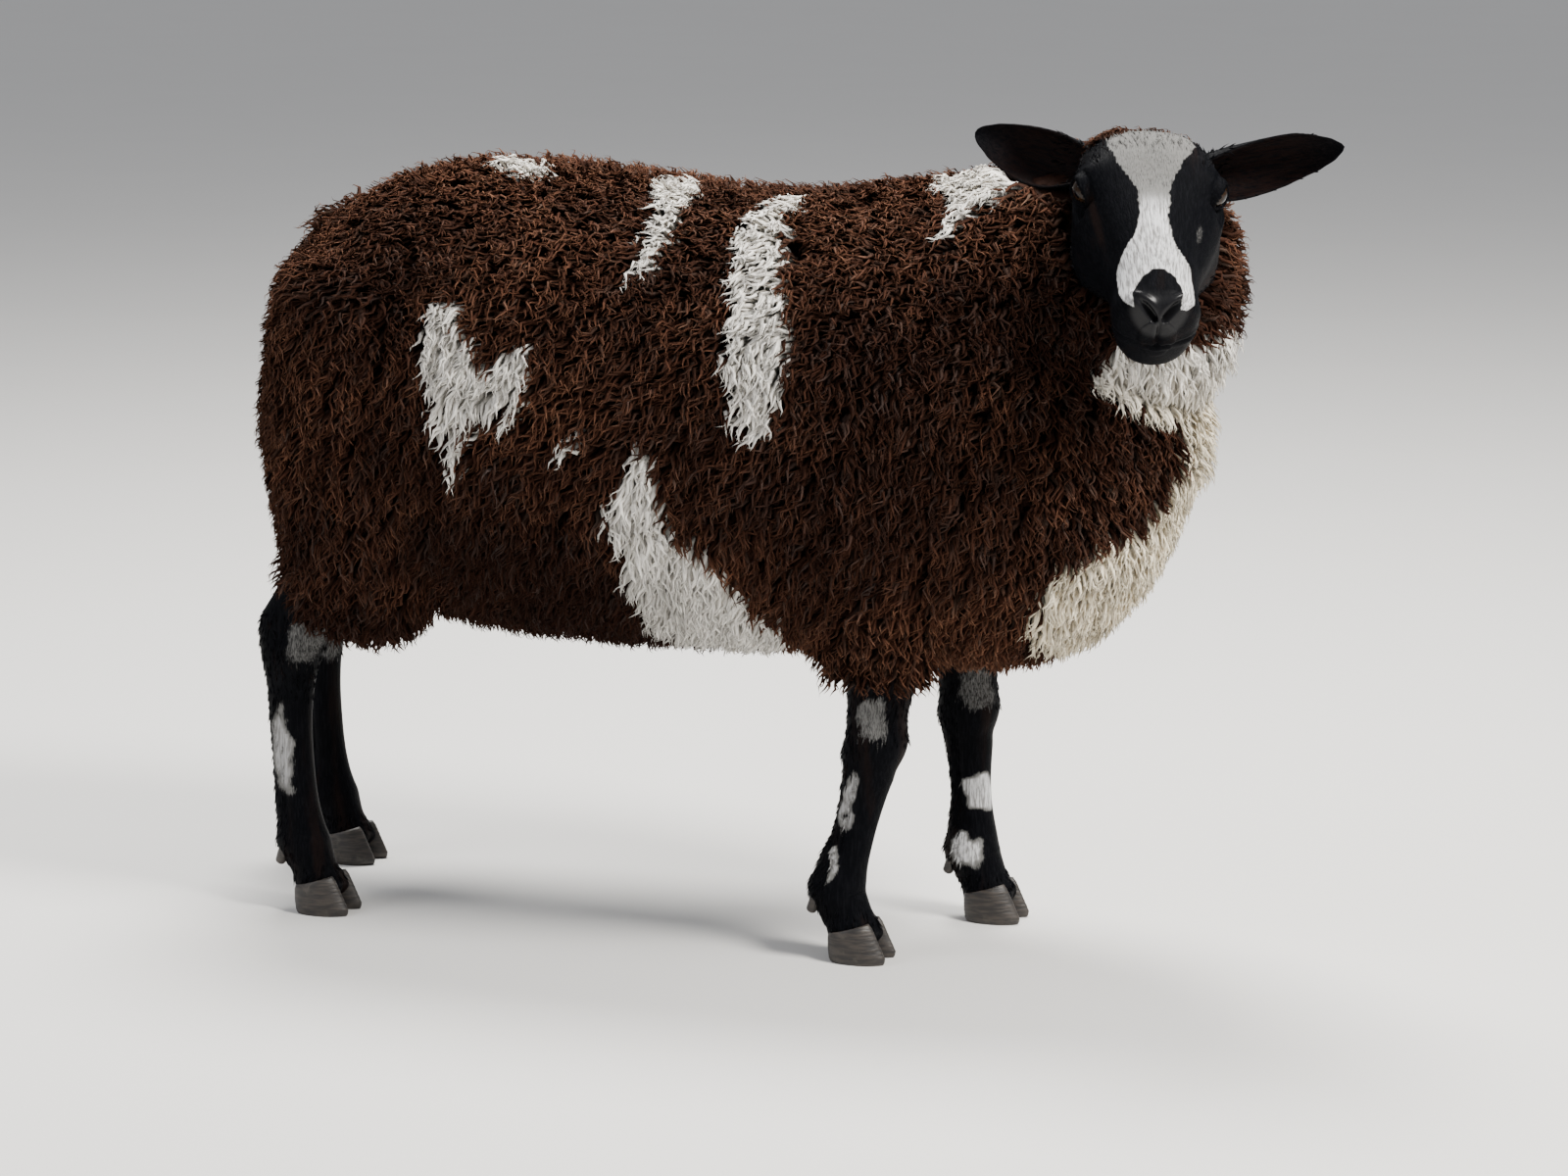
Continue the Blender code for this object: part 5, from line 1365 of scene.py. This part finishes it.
bulge = 0.035  # how far the front of the eyeball stands out, as a share of its radius
for side, node in ((1, "eye_left"), (-1, "eye_right")):
    centre, out, fore, up = eyeFrame(side)
    turns = np.linspace(0, 2 * math.pi, 48, endpoint=False)
    rings = []
    for tilt in np.linspace(0, math.pi, 34)[1:-1]:
        r = eye["radius"] * (1 + bulge * math.exp(-((math.pi - tilt) / 0.62) ** 4))
        ring = fore * np.cos(turns)[:, None] + up * np.sin(turns)[:, None]
        rings.append(centre - out * math.cos(tilt) * r + ring * math.sin(tilt) * r)
    ends = centre - out * eye["radius"], centre + out * eye["radius"] * (1 + bulge)
    points, faces = outwards(*loftMesh(rings, *ends))
    ball = makeObject(node.replace("eye", "eyeball"), toBody(points), faces)
    rel = (points - centre) / eye["radius"]
    giveNumbers(ball.data, "gaze", np.column_stack([rel @ fore, rel @ up, rel @ out]))
    placeOnRam(ball, eyeLook)
    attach(ball, "root")
    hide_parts(node)
print("ram: eyes")

claws = {
    "length": 0.056,
    "halfWidth": 0.0135,
    "cleft": 0.0036,
    "coronetHeight": 0.031,
    "coronetSlope": math.radians(14),
    "sides": 48,
    "rings": 22,
    # height as a share of the wall, length, width, how far back
    "sections": ((0.0, 0.93, 0.90, 0.0), (0.04, 0.965, 0.955, 0.0), (0.14, 1.0, 1.0, 0.0),
                 (0.55, 0.90, 0.965, 0.0040), (1.0, 0.78, 0.90, 0.0075), (1.14, 0.70, 0.80, 0.0085)),
    "dewRadius": 0.0072,
    "dewLength": 0.020,
}


def clawShape(x, y, inner):
    slope = math.tan(claws["coronetSlope"])
    middleY = y - inner * (claws["halfWidth"] + claws["cleft"] / 2)
    keys = np.array(claws["sections"])
    angle = 2 * math.pi * np.arange(claws["sides"]) / claws["sides"]
    c, s = np.cos(angle), np.sin(angle)
    toe = 1.0 - 0.30 * np.maximum(c, 0) ** 2
    flat = np.where(s * inner < 0, 1.0, 0.72)
    rings = []
    for share in np.linspace(0, keys[-1, 0], claws["rings"]):
        length, width, back = (float(np.interp(share, keys[:, 0], keys[:, i])) for i in (1, 2, 3))
        groove = 1 + 0.006 * math.sin(share * 46) * (share > 0.1)
        px = x + signedPower(c, 0.85) * claws["length"] / 2 * length * groove - back
        py = middleY + s * claws["halfWidth"] * width * flat * toe * groove
        rings.append(np.column_stack([px, py, (claws["coronetHeight"] + (px - x) * slope) * share]))
    first = np.array((x, middleY, 0.0))
    return outwards(*loftMesh(rings, first, rings[-1].mean(axis=0)))


dewParts = []
for name, side, keys in allLegs():
    footX = keys[-1][0] + 0.006
    node = {"fore": "forehoof_", "hind": "hindhoof_"}[name[:4]] + name[4:].lower()
    for inner, tag in ((side, "inner"), (-side, "outer")):
        claw = makeObject("claw_" + name + "_" + tag, *clawShape(footX, keys[-1][1], inner))
        placeOnRam(claw, hornLook)
        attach(claw, "root")
        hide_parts(node + "_" + tag)
    x, y, z = keys[7][:3]
    for way in (1, -1):
        start = np.array((x - keys[7][4] * 0.60, y + way * 0.011, z - 0.004))
        step = unit((-0.45, 0, -0.9)) * claws["dewLength"]
        rows = [(*(start + step * t), claws["dewRadius"] * (1 - 0.5 * t), claws["dewRadius"] * (1 - 0.42 * t))
                for t in (0.0, 0.35, 0.7)]
        dewParts.append(outwards(*loftMesh(*tubeRings(rows, 8, 20, ends=0.8))))
dews = makeObject("dewclaws", *joinMeshes(dewParts))
placeOnRam(dews, hornLook)
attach(dews, "root")
print("ram: hooves")

skin.data.materials.clear()
placeOnRam(skin, hairLook)
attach(skin, "root")
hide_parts("head", "ear_right", "ear_left", "neck", "torso", "tail", "thigh_right", "thigh_left",
            "upper_foreleg_right", "upper_foreleg_left", "foreleg_right", "foreleg_left", "hindleg_right",
            "hindleg_left")

studio = {
    "floor": (0.72, 0.71, 0.69),
    "sky": (0.93, 0.95, 1.0),
    "skyStrength": 0.47,
    "azimuth": math.radians(20),
    "elevation": math.radians(10.5),
    "distance": 4.5,
    "lens": 107.325,
    "aim": (0.04151, 0.32547, 0.073),  # right, up and towards the camera from the ram's own middle
}


def floorMaterial():
    paint = Paint("paleFloor")
    lighter = tuple(min(c * 1.03, 1.0) for c in studio["floor"])
    colour = paint.mix(paint.noise(paint.place(), 3, 3, 0.5), studio["floor"], lighter)
    paint.feed(paint.shader.inputs["Base Color"], colour)
    paint.shader.inputs["Roughness"].default_value = 0.9
    return paint.made


corners = [(-30, -30, 0), (30, -30, 0), (30, 30, 0), (-30, 30, 0)]
floor = makeObject("floor", corners, [(0, 1, 2, 3)], smooth=False)
floor.data.materials.append(floorMaterial())

world = bpy.data.worlds.new("paleStudio")
scene.world = world
world.use_nodes = True
world.node_tree.nodes["Background"].inputs["Color"].default_value = (*studio["sky"], 1.0)
world.node_tree.nodes["Background"].inputs["Strength"].default_value = studio["skyStrength"]


def softLight(name, place, target, size, power, colour):
    lamp = bpy.data.lights.new(name, "AREA")
    lamp.shape, lamp.size, lamp.energy, lamp.color = "DISK", size, power, colour
    obj = bpy.data.objects.new(name, lamp)
    obj.location = place
    obj.rotation_euler = (Vector(place) - Vector(target)).to_track_quat("Z", "Y").to_euler()
    scene.collection.objects.link(obj)


softLight("keyLight", (2.8, -0.9, 3.3), (0.1, 0, 0.4), 1.3, 330, (1.0, 0.97, 0.92))
softLight("fillLight", (-2.8, -2.2, 3.0), (0, 0, 0.4), 2.2, 55, (0.96, 0.97, 1.0))
softLight("backLight", (-0.5, 1.2, 3.8), (0, 0, 0.5), 1.6, 290, (1.0, 0.98, 0.94))

az, el = studio["azimuth"], studio["elevation"]
right = Vector((math.cos(az), math.sin(az), 0))
back = Vector((math.sin(az) * math.cos(el), -math.cos(az) * math.cos(el), math.sin(el)))
upward = back.cross(right)
target = Vector(middleShift)
for way, far in zip((right, upward, back), studio["aim"]):
    target += way * far
lens = bpy.data.cameras.new("camera")
lens.sensor_width, lens.lens = 36.0, studio["lens"]
camera = bpy.data.objects.new("camera", lens)
turn = Matrix((right, upward, back)).transposed().to_4x4()
camera.matrix_world = Matrix.Translation(target + back * studio["distance"]) @ turn
scene.collection.objects.link(camera)
scene.camera = camera
print("ram: studio")
